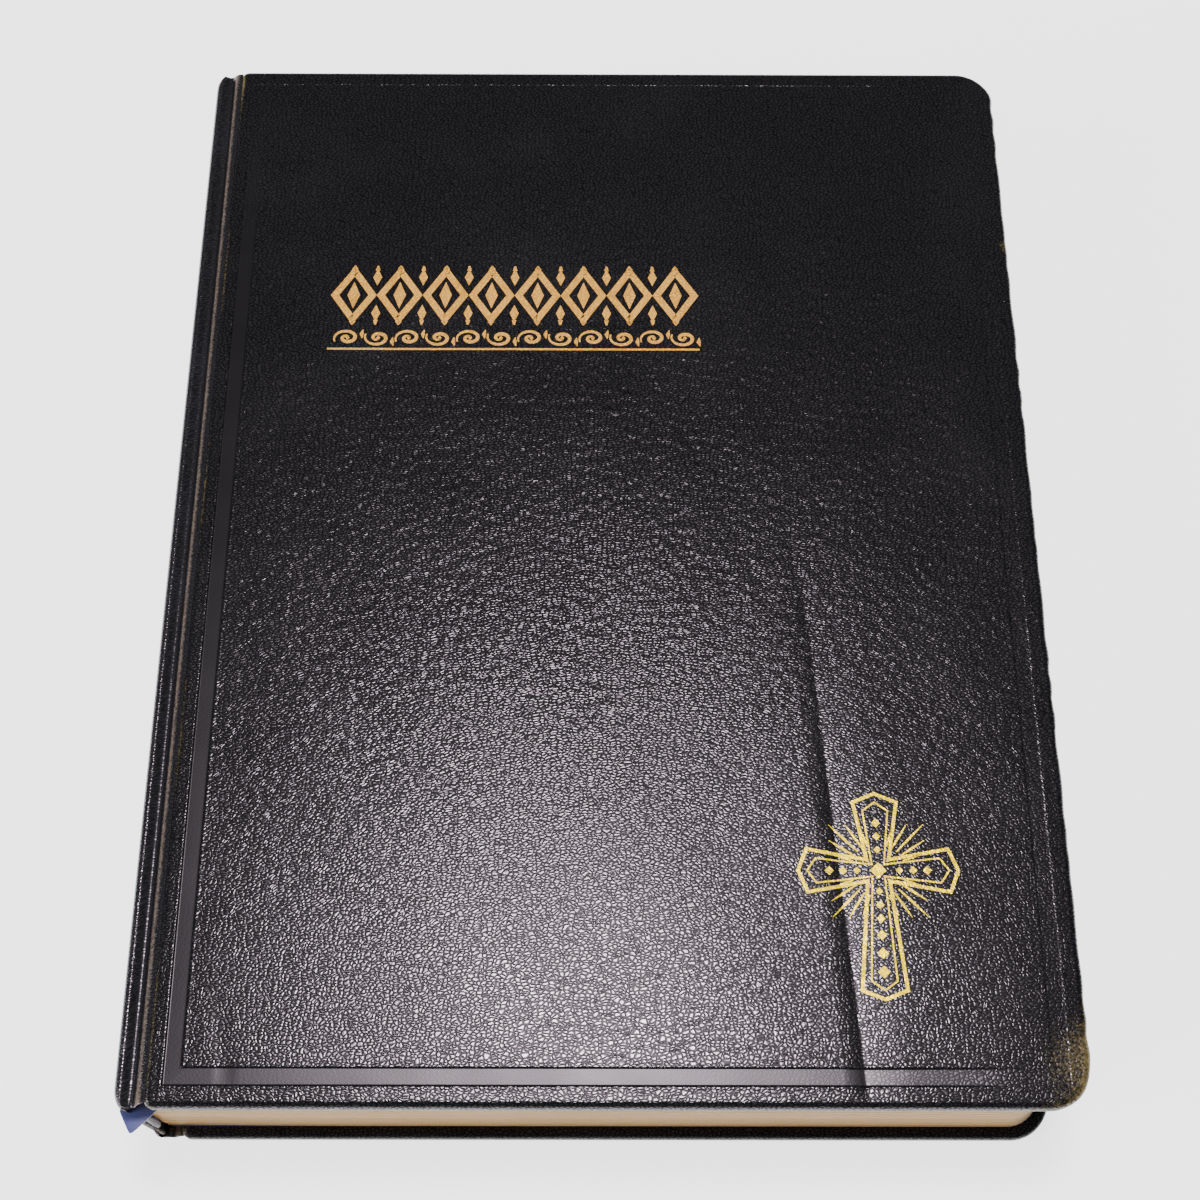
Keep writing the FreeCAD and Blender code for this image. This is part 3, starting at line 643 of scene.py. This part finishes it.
def smooth_line(knots, count):
    """A smooth line through the knots, evenly stepped (Catmull-Rom)."""
    k = np.asarray(knots, float)
    k = np.vstack([2 * k[0] - k[1], k, 2 * k[-1] - k[-2]])
    out = []
    for i in range(1, len(k) - 2):
        t = np.linspace(0, 1, 12, endpoint=False)[:, None]
        a, b, c, d = k[i - 1 : i + 3]
        bend, twist = 2 * a - 5 * b + 4 * c - d, 3 * b - a - 3 * c + d
        out.append(0.5 * (2 * b + (c - a) * t + bend * t**2 + twist * t**3))
    line = np.vstack(out + [k[-2][None]])
    far = np.concatenate([[0], np.cumsum(np.hypot(*np.diff(line, axis=0).T))])
    even = np.linspace(0, far[-1], count)
    return np.stack([np.interp(even, far, line[:, c]) for c in (0, 1)], -1)


def joint_section():
    """The joint's outer line and inner line, from the shoulder of the spine to the ridge of the board."""
    start = FRONT_HIGH[2] + JOINT_START
    knots = [(spine_x(start) - 0.02, start)]
    knots += [(SPINE_LOW[0] + x, FRONT_HIGH[2] + z) for x, z in JOINT_KNOTS]
    outer = smooth_line(knots, 54)
    step = np.gradient(outer, axis=0)
    step /= np.linalg.norm(step, axis=1, keepdims=True)
    inward = np.stack([step[:, 1], -step[:, 0]], -1)
    share = np.linspace(0, 1, len(outer))
    thick = 0.5 * ease(share / 0.2) * ease((1 - share) / 0.12) + 0.03
    inner = outer + inward * thick[:, None]
    inner[:, 1] = np.maximum(inner[:, 1], FRONT_LOW[2] - 0.05)
    return outer, inner


def joint_skin(name, node, upper):
    """Leather from the spine's shoulder, through the joint's groove, up to the ridge of the board."""
    outer, inner = joint_section()
    loop = np.vstack([outer, inner[::-1]])
    middle = 0.5 * (outer + inner)
    centre = np.vstack([middle, middle[::-1]])
    y0, y1 = SPINE_LOW[1], SPINE_HIGH[1]
    ys = spaced(y0 + 0.2, y1 - 0.2, 4.0, 0.3, [(y0, 2.0), (y1, 2.0)])
    rings = []
    for y in ys:
        # Towards its ends the leather thins, droops outside the ridge and turns in under a small cap.
        end = min(y - y0, y1 - y)
        shrink = 1 - 0.75 * (1 - ease(end / 0.9)) ** 2
        droop = 0.2 * fade(end, 2.2) * ease((GROOVE_X + 1.4 - centre[:, 0]) / 2.0)
        ring = centre + (loop - centre) * shrink
        turned = 1 - math.sqrt(1 - max(0.0, 1 - end / 4.0) ** 2 * 0.98)
        ring[:, 0] += 2.4 * turned * ease((GROOVE_X - 1.0 - ring[:, 0]) / 2.5)
        cap = np.clip(0.45 * (FRONT_HIGH[2] - 0.5 - ring[:, 1]), 0, 0.9) * fade(end, 1.2)
        rings.append(np.stack([ring[:, 0], y + math.copysign(1, y) * cap, ring[:, 1] - droop], -1))
    points = np.concatenate(rings)
    faces = tube_faces(len(ys), len(loop))
    crest = bell(points[:, 0] - CREST_X, 1.2)
    ridge = bell(points[:, 0] - RIDGE_X, 0.9)
    groove = bell(points[:, 0] - GROOVE_X, 1.4)
    tips = fade(TIP_Y - np.abs(points[:, 1]), 3.0)
    marks = {
        "wear": 0.24 * crest + 0.56 * ridge + 0.3 * tips * (1 - groove) + 0.04,
        "band": 0.5 * groove,
        "dull": ease((FRONT_HIGH[2] - 3.4 - points[:, 2]) / 3.0),
    }
    if not upper:
        points[:, 2] = 2 * MIDDLE - points[:, 2]
    piece = make_piece(name, points, faces, [SPINE_LEATHER_PAINTED_LIGHTER], marks=marks, crisp=50.0)
    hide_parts(node)
    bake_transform(piece)
    return piece


joint_skin("front_joint_skin", "front_joint_leather", True)
joint_skin("back_joint_skin", "back_joint_leather", False)


def spine_skin():
    """The leather back: rounded, thicker at its head and tail where it is turned over a cord."""
    zs = np.linspace(SPINE_LOW[2], SPINE_HIGH[2], 49)
    y0, y1 = SPINE_LOW[1] + SPINE_CORD, SPINE_HIGH[1] - SPINE_CORD
    ys = spaced(y0, y1, 4.0, 0.35, [(SPINE_LOW[1], 2.5), (SPINE_HIGH[1], 2.5)])
    bends = [(SPINE_CORD * math.sin(a), SPINE_CORD * math.cos(a)) for a in np.linspace(0, math.pi, 9)[1:-1]]
    profile = [(y, 0.0) for y in ys]
    profile += [(y1 + out, SPINE_CORD - rise) for out, rise in bends]
    profile += [(y, 0.7 + 0.6 * fade(min(y - y0, y1 - y), 0.9)) for y in ys[::-1]]
    profile += [(y0 - out, SPINE_CORD + rise) for out, rise in bends]
    rings = [[(spine_x(z, depth), y, z) for y, depth in profile] for z in zs]
    points = np.array(rings).reshape(-1, 3)
    faces = tube_faces(len(zs), len(profile))
    tips = fade(TIP_Y - np.abs(points[:, 1]), 2.5)
    marks = {
        "wear": 0.1 + 0.45 * tips + 0.1 * np.abs((points[:, 2] - MIDDLE) / SPINE_HALF) ** 4,
        "band": np.zeros(len(points)),
        "dull": np.ones(len(points)),
    }
    piece = make_piece("spine_skin", points, faces, [SPINE_LEATHER_PAINTED_LIGHTER], marks=marks, crisp=60.0)
    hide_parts("spine_leather")
    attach(piece, "text_block")


spine_skin()


def wound_band(name, node):
    """A silk-wound bead along the head or tail of the folds."""
    low, high = box_mm(node)
    zs = np.linspace(low[2], high[2], 65)
    middle_y, half_y = 0.5 * (low[1] + high[1]), 0.5 * (high[1] - low[1])
    depth = low[0] - SPINE_LOW[0] + 0.75
    around = np.linspace(0, 2 * math.pi, 20, endpoint=False)
    rings = []
    for i, z in enumerate(zs):
        end = min(i, len(zs) - 1 - i) / 2.0
        size = min(1.0, 0.35 + 0.65 * math.sqrt(min(end, 1.0)))
        x = spine_x(z, depth) + 0.7 * size * np.cos(around)
        y = middle_y + 0.97 * half_y * size * np.sin(around)
        rings.append(np.stack([x, y, np.full(x.shape, z)], -1))
    points = np.concatenate(rings)
    faces = tube_faces(len(zs), len(around))
    piece = make_piece(name, points, faces, [BAND_SILK], crisp=60.0)
    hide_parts(node)
    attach(piece, "text_block")


wound_band("headband_silk", "headband")
wound_band("tailband_silk", "tailband")

# ---------------------------------------------------------------- pages

BLOCK_LOW, BLOCK_HIGH = box_mm("page_sections")
LEAF_LOW, LEAF_HIGH = box_mm("page_leaf_1")
RIBBON_LOW, RIBBON_HIGH = box_mm("ribbon_marker")
PAGE_WIDE = LEAF_HIGH[0] - LEAF_LOW[0]
PAGE_SPINE_RADIUS, PAGE_FORE_RADIUS = 1.0, 8.5
BLOCK_LAYER, FRONT_LAYER, LAYER_GAP, UNEVEN_BY = 0.36, 0.6, 0.012, 0.09


def fold_x(z):
    """X of the folds at a height: they follow the rounded back."""
    leaf_z = 0.5 * (LEAF_LOW[2] + LEAF_HIGH[2])
    rise = (LEAF_LOW[0] - BLOCK_LOW[0]) / (leaf_z - MIDDLE) ** 2
    return BLOCK_LOW[0] + rise * (z - MIDDLE) ** 2


def sheet_part(low, high, xs_step, gutter, start, inset):
    """Points, faces and slots of one slab with the page's outline. Slot 1 is its cut edge."""
    plan = Plan(low + inset, high - inset, PAGE_SPINE_RADIUS, PAGE_FORE_RADIUS)
    places_x = [(plan.x1, 6.0)] + ([(plan.x0 + gutter / 2, gutter / 2)] if gutter else [])
    xs = spaced(plan.x0, plan.x1, xs_step, 1.3, places_x)
    ys = spaced(plan.y0, plan.y1, xs_step, 1.3, [(plan.y0, 6.0), (plan.y1, 6.0)])
    u, v, _ = plan.grid(xs, ys)
    rows, cols = u.shape
    size = rows * cols
    points = [np.stack([u, v, np.full(u.shape, z)], -1).reshape(-1, 3) for z in (low[2], high[2])]
    under = [f[::-1] for f in grid_faces(rows, cols, start)]
    over = grid_faces(rows, cols, start + size)
    edge = join_rings(grid_rim(rows, cols, start), grid_rim(rows, cols, start + size))
    slots = [0] * (len(under) + len(over)) + [1] * len(edge)
    return np.concatenate(points), under + over + edge, slots, start + 2 * size


def stack_piece(name, node, layers, body, blended, paint=PAPER, xs_step=9.0, gutter=34.0):
    """Flat slabs one over another as one piece, each with the page's outline; their fold ends sit where the
    given layers put them.
    """
    rng = np.random.default_rng(len(name) * 7 + len(layers))
    points, faces, slots, start = [], [], [], 0
    for low, high in layers:
        by = rng.uniform(0.0, UNEVEN_BY) if len(layers) > 1 else 0.0
        inset = np.array([by, by, 0.0])
        p, f, s, start = sheet_part(low, high, xs_step, gutter if blended else 0.0, start, inset)
        points.append(p)
        faces += f
        slots += s
    piece = make_piece(name, np.concatenate(points), faces, [paint, GILT], slots, crisp=35.0, clean=False)
    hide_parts(node)
    if blended:
        low, high = box_mm(node)
        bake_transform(piece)
    else:
        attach(piece, body)
    return piece


def layers_between(z0, z1, step, fixed=None):
    """Corner pairs of slabs filling a height. They follow the rounded back unless their ends are given."""
    count = max(1, int(round((z1 - z0) / step)))
    found = []
    for k in range(count):
        a, b = z0 + (z1 - z0) * k / count, z0 + (z1 - z0) * (k + 1) / count
        x0 = fixed[0][0] if fixed else fold_x(0.5 * (a + b))
        x1 = fixed[1][0] if fixed else x0 + PAGE_WIDE
        found.append((np.array([x0, BLOCK_LOW[1], a]), np.array([x1, BLOCK_HIGH[1], b - LAYER_GAP])))
    return found


stack_piece(
    "page_block", "page_sections",
    layers_between(BLOCK_LOW[2], BLOCK_HIGH[2], BLOCK_LAYER),
    "text_block", False, xs_step=40.0,
)
low, high = box_mm("front_pages")
stack_piece(
    "front_page_slabs", "front_pages", layers_between(low[2], high[2], FRONT_LAYER, (low, high)),
    "front_page_stack", True, xs_step=16.0,
)
SINGLE_LEAVES = [(f"page_leaf_{n}", f"leaf_{n}", PAPER, "leaf_paper") for n in (1, 2, 3, 4)] + [
    ("title_leaf", "title_page", PAPER, "leaf_paper"),
    ("presentation_leaf", "presentation_page", PAPER, "leaf_paper"),
    ("front_free_endpaper", "front_endpaper", BLUE_PAPER, "endpaper_blue"),
    ("back_free_endpaper", "back_endpaper", BLUE_PAPER, "endpaper_blue"),
]
for node, body, paint, slot in SINGLE_LEAVES:
    stack_piece(f"{node}_sheet", node, [box_mm(node)], body, True, paint)


def ribbon():
    """The satin marker: it lies over the sections, comes out at the tail and ends in a point."""
    width = RIBBON_HIGH[0] - RIBBON_LOW[0]
    thick, point, blunt, reach = 0.22, 6.5, 0.12, 0.6
    swing, curl_high = 4.0, 0.3
    tip, middle_x = -0.14, 0.5 * (RIBBON_LOW[0] + RIBBON_HIGH[0])
    z = 0.5 * (RIBBON_LOW[2] + RIBBON_HIGH[2])
    y_start, y_tip = RIBBON_HIGH[1], RIBBON_LOW[1] - reach
    top, bottom = [], []
    along = np.concatenate([np.linspace(0, 0.94, 60), np.linspace(0.94, 1, 40)[1:]])
    across = np.linspace(-0.5, 0.5, 25)
    for share in along:
        for a in across:
            side = (tip - a) / (tip + 0.5) if a < tip else (a - tip) / (0.5 - tip)
            y_end = y_tip + point * (math.hypot(side, blunt) - blunt)
            y = y_start + (y_end - y_start) * share
            out = float(ease((BLOCK_LOW[1] + 1.5 - y) / 3.6))
            px = middle_x + a * width * (1 - 0.05 * out) - swing * out
            curl = curl_high * out * math.cos(a * 4.4)
            top.append((px, y, z + thick / 2 + curl))
            bottom.append((px, y, z - thick / 2 + curl))
    rows, cols = len(along), len(across)
    size = rows * cols
    faces = grid_faces(rows, cols) + [f[::-1] for f in grid_faces(rows, cols, size)]
    faces += join_rings(grid_rim(rows, cols), grid_rim(rows, cols, size))
    piece = make_piece("ribbon_satin", np.array(top + bottom), faces, [BLUE_SATIN], crisp=60.0)
    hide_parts("ribbon_marker")
    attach(piece, "text_block")


ribbon()

# ---------------------------------------------------------------- gold work

FOIL_LIFT, FOIL_SUNK, FOIL_STEP = 0.07, 0.1, 0.7
MITRE_LIMIT, THINNEST = 0.35, 0.03


class Foil:
    """Strokes of gold that lie on the front cover's surface, gathered into one piece."""

    def __init__(self):
        self.points, self.faces = [], []

    def stroke(self, path, width, closed=False):
        """A band of the given width, one value or one a point, along a path."""
        path = np.asarray(path, float)
        width = np.broadcast_to(np.asarray(width, float), (len(path),))
        if closed:
            path, width = np.vstack([path, path[:1]]), np.append(width, width[0])
        pieces, widths = [], []
        for k in range(len(path) - 1):
            n = max(1, int(math.ceil(np.hypot(*(path[k + 1] - path[k])) / FOIL_STEP)))
            t = np.linspace(0, 1, n, endpoint=False)[:, None]
            pieces.append(path[k] + (path[k + 1] - path[k]) * t)
            widths.append(width[k] + (width[k + 1] - width[k]) * t[:, 0])
        if not closed:
            pieces.append(path[-1:])
            widths.append(width[-1:])
        line, w = np.vstack(pieces), np.concatenate(widths)
        ahead = np.roll(line, -1, 0) - line
        behind = line - np.roll(line, 1, 0)
        if not closed:
            ahead[-1], behind[0] = behind[-1], ahead[0]
        ahead /= np.maximum(np.linalg.norm(ahead, axis=1, keepdims=True), 1e-9)
        behind /= np.maximum(np.linalg.norm(behind, axis=1, keepdims=True), 1e-9)
        both = ahead + behind
        both /= np.maximum(np.linalg.norm(both, axis=1, keepdims=True), 1e-9)
        mitre = np.clip(np.sum(both * ahead, axis=1), MITRE_LIMIT, 1)
        half = 0.5 * np.maximum(w, THINNEST) / mitre
        normal = np.stack([-both[:, 1], both[:, 0]], -1) * half[:, None]
        rings = []
        for a, b in zip(line + normal, line - normal):
            za, zb = front_surface(*a), front_surface(*b)
            top = [(*a, za + FOIL_LIFT), (*b, zb + FOIL_LIFT)]
            foot = [(*b, zb - FOIL_SUNK), (*a, za - FOIL_SUNK)]
            rings.append(top + foot)
        start = sum(len(p) for p in self.points)
        self.points.append(np.array(rings).reshape(-1, 3))
        count = len(rings)
        for k in range(count if closed else count - 1):
            m = (k + 1) % count
            self.faces += join_rings(start + 4 * k + np.arange(4), start + 4 * m + np.arange(4))
        if not closed:
            self.faces.append((start + np.arange(4))[::-1].tolist())
            self.faces.append((start + 4 * (count - 1) + np.arange(4)).tolist())

    def lozenge(self, x, y, half_x, half_y):
        """A filled lozenge."""
        self.stroke([(x, y - half_y), (x, y), (x, y + half_y)], [0.05, 2 * half_x, 0.05])

    def loop(self, corners, width):
        """A closed outline."""
        self.stroke(corners, width, closed=True)

    def make(self, name, node, paint):
        """The piece of gold that takes a node's place."""
        piece = make_piece(name, np.concatenate(self.points), self.faces, [paint], crisp=30.0, clean=False)
        bm = bmesh.new()
        bm.from_mesh(piece.data)
        bmesh.ops.recalc_face_normals(bm, faces=bm.faces)
        bm.to_mesh(piece.data)
        bm.free()
        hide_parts(node)
        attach(piece, "front_cover")
        return piece


def lozenge_corners(x, y, half_x, half_y):
    """Corners of an outlined lozenge."""
    return [(x - half_x, y), (x, y - half_y), (x + half_x, y), (x, y + half_y)]


def title_row():
    """A row of framed lozenges with studs between them."""
    low, high = box_mm("title_foil")
    middle, half = 0.5 * (low[1] + high[1]), 0.5 * (high[1] - low[1])
    count, line = 8, 1.9
    pitch = (high[0] - low[0]) / count
    gold = Foil()
    for k in range(count):
        x = low[0] + (k + 0.5) * pitch
        gold.loop(lozenge_corners(x, middle, 0.5 * pitch - 1.15, half - line), line)
        gold.lozenge(x, middle, 1.75, 4.3)
        for end in (-1, 1):
            gold.stroke([(x, middle + end * (half - 1.2)), (x, middle + end * half)], [line, 0.3])
        if k:
            edge = low[0] + k * pitch
            for end in (-1, 1):
                gold.lozenge(edge, middle + end * 5.9, 1.25, 2.7)
                gold.stroke([(edge, middle + end * 8.1), (edge, middle + end * (half - 0.1))], [1.3, 0.5])
    gold.make("title_gold_row", "title_foil", TITLE_GOLD)


def scroll_row():
    """A running scroll over a rail: one spiral after another, each growing from the last."""
    low, high = box_mm("scroll_foil")
    count = 12
    pitch = (high[0] - low[0] - 1.0) / count
    gold = Foil()
    gold.stroke([(low[0], low[1] + 0.35), (high[0], low[1] + 0.35)], 0.6)
    turn = np.linspace(0, 1, 34)
    for k in range(count):
        x = low[0] + 0.5 + (k + 0.56) * pitch
        y = 0.5 * (low[1] + high[1]) + 0.45
        flip = 1 if k % 2 == 0 else -1
        angle = math.pi * (1.15 - 2.9 * turn)
        radius = 3.0 * (1 - 0.86 * turn**0.85)
        path = np.stack([x + 1.25 * radius * np.cos(angle), y + flip * radius * 0.92 * np.sin(angle)], -1)
        gold.stroke(path, 0.45 + 0.55 * np.sin(math.pi * turn))
        gold.lozenge(x + 0.2, y, 0.55, 0.75)
        leaf_x = x + 0.52 * pitch
        leaf = [(leaf_x, y + flip * 2.6), (leaf_x - 0.4, y + flip * 1.2), (leaf_x - 0.2, y - flip * 0.2)]
        gold.stroke(leaf, [0.2, 1.1, 0.2])
    gold.make("scroll_gold_row", "scroll_foil", TITLE_GOLD)


def flared_cross(x, y, arm_x, up, down, waist, flare, point=2.2):
    """Corners of a cross whose four arms widen to their ends, and whose ends are pointed."""
    w, f, p = waist, flare, point
    return [
        (x - w, y + w), (x - f, y + up - p), (x, y + up), (x + f, y + up - p),
        (x + w, y + w), (x + arm_x - p, y + f), (x + arm_x, y), (x + arm_x - p, y - f),
        (x + w, y - w), (x + f, y - down + p), (x, y - down), (x - f, y - down + p),
        (x - w, y - w), (x - arm_x + p, y - f), (x - arm_x, y), (x - arm_x + p, y + f),
    ]


def emblem():
    """An outlined cross with a second line inside it, a lozenge at its heart and short rays."""
    low, high = box_mm("emblem_foil")
    x, arm = 0.5 * (low[0] + high[0]), 0.5 * (high[0] - low[0])
    y = high[1] - arm
    down = y - low[1]
    gold = Foil()
    gold.loop(flared_cross(x, y, arm - 0.4, arm - 0.4, down - 0.4, 2.7, 5.4), 0.85)
    gold.loop(flared_cross(x, y, arm - 2.6, arm - 2.6, down - 2.6, 1.5, 3.1), 0.4)
    gold.lozenge(x, y, 2.0, 2.0)
    for dx, dy in ((1, 0), (-1, 0), (0, 1), (0, -1)):
        for far in (5.2, 8.6, 12.0) + ((16.0, 20.5, 25.0) if dy < 0 else ()):
            size = 0.75 + 0.03 * far
            gold.lozenge(x + dx * far, y + dy * far, size, size)
    for quarter in range(4):
        for turn, far in ((-24, 12.0), (-12, 14.0), (0, 16.5), (12, 14.0), (24, 12.0)):
            a = math.radians(45 + 90 * quarter + turn)
            path = [(x + r * math.cos(a), y + r * math.sin(a)) for r in (6.6, 0.5 * (6.6 + far), far)]
            gold.stroke(path, [0.3, 0.62, 0.12])
    gold.make("emblem_gold_cross", "emblem_foil", EMBLEM_GOLD)


title_row()
scroll_row()
emblem()

for name, paint in NODE_PAINTS.items():
    node = frame["nodes"][name]
    node.data.materials.clear()
    node.data.materials.append(paint)

# ---------------------------------------------------------------- floor, light and camera

FLOOR_HALF, FLOOR_GLOW = 60.0, 2.2
LENS, SENSOR = 57.0, 36.0
CAMERA_PLACE = Vector((-0.0027, -0.2226, 0.5026))
CAMERA_TURN, CAMERA_DOWN, CAMERA_ROLL = (math.radians(angle) for angle in (0.47, 65.93, 0.56))


def floor():
    """A white floor with a glow of its own, as the photo's background is almost white."""
    p = Paint("pale_floor", Specular_IOR_Level=0.2)
    p.set(Base_Color=p.mix(p.noise(3.0, 3.0), (0.78, 0.785, 0.79), (0.83, 0.83, 0.83)), Roughness=0.85)
    p.set(Emission_Color=(1.0, 1.0, 1.0), Emission_Strength=FLOOR_GLOW)
    p.mat.cycles.emission_sampling = "NONE"
    mesh = bpy.data.meshes.new("floor")
    corners = [(x * FLOOR_HALF, y * FLOOR_HALF, 0) for x, y in ((-1, -1), (1, -1), (1, 1), (-1, 1))]
    mesh.from_pydata(corners, [], [(0, 1, 2, 3)])
    mesh.materials.append(p.mat)
    obj = bpy.data.objects.new("floor", mesh)
    bpy.context.scene.collection.objects.link(obj)


def area_light(name, place, target, size, power, colour):
    """A rectangular lamp turned towards its target."""
    data = bpy.data.lights.new(name, "AREA")
    data.shape = "RECTANGLE"
    data.size, data.size_y = size
    data.energy = power
    data.color = colour
    obj = bpy.data.objects.new(name, data)
    obj.location = place
    obj.rotation_euler = (Vector(target) - Vector(place)).to_track_quat("-Z", "Y").to_euler()
    bpy.context.scene.collection.objects.link(obj)


def world(strength, colour):
    """An even room light."""
    w = bpy.data.worlds.new("soft_room")
    w.use_nodes = True
    background = w.node_tree.nodes["Background"]
    background.inputs["Color"].default_value = (*colour, 1)
    background.inputs["Strength"].default_value = strength
    bpy.context.scene.world = w


def camera():
    """The photo's view: turned a little right, looking steeply down and rolled a little."""
    data = bpy.data.cameras.new("camera")
    data.lens, data.sensor_width = LENS, SENSOR
    level = Vector((math.sin(CAMERA_TURN), math.cos(CAMERA_TURN), 0))
    ahead = math.cos(CAMERA_DOWN) * level - math.sin(CAMERA_DOWN) * Vector((0, 0, 1))
    right = Vector((math.cos(CAMERA_TURN), -math.sin(CAMERA_TURN), 0))
    up = right.cross(ahead)
    right, up = (
        math.cos(CAMERA_ROLL) * right + math.sin(CAMERA_ROLL) * up,
        math.cos(CAMERA_ROLL) * up - math.sin(CAMERA_ROLL) * right,
    )
    obj = bpy.data.objects.new("camera", data)
    obj.matrix_world = Matrix((
        (right.x, up.x, -ahead.x, CAMERA_PLACE.x),
        (right.y, up.y, -ahead.y, CAMERA_PLACE.y),
        (right.z, up.z, -ahead.z, CAMERA_PLACE.z),
        (0, 0, 0, 1),
    ))
    data.clip_start, data.clip_end = 0.01, 50.0
    bpy.context.scene.collection.objects.link(obj)
    bpy.context.scene.camera = obj


floor()
world(0.3, (0.93, 0.94, 0.97))
area_light("key", (-0.005, 0.1, 1.35), (-0.01, -0.1, 0.05), (0.27, 0.22), 15.5, (1.0, 0.93, 0.955))
area_light("left_fill", (-1.5, -0.6, 0.9), (0, 0, 0), (0.9, 0.9), 22.0, (0.87, 0.91, 1.0))
camera()
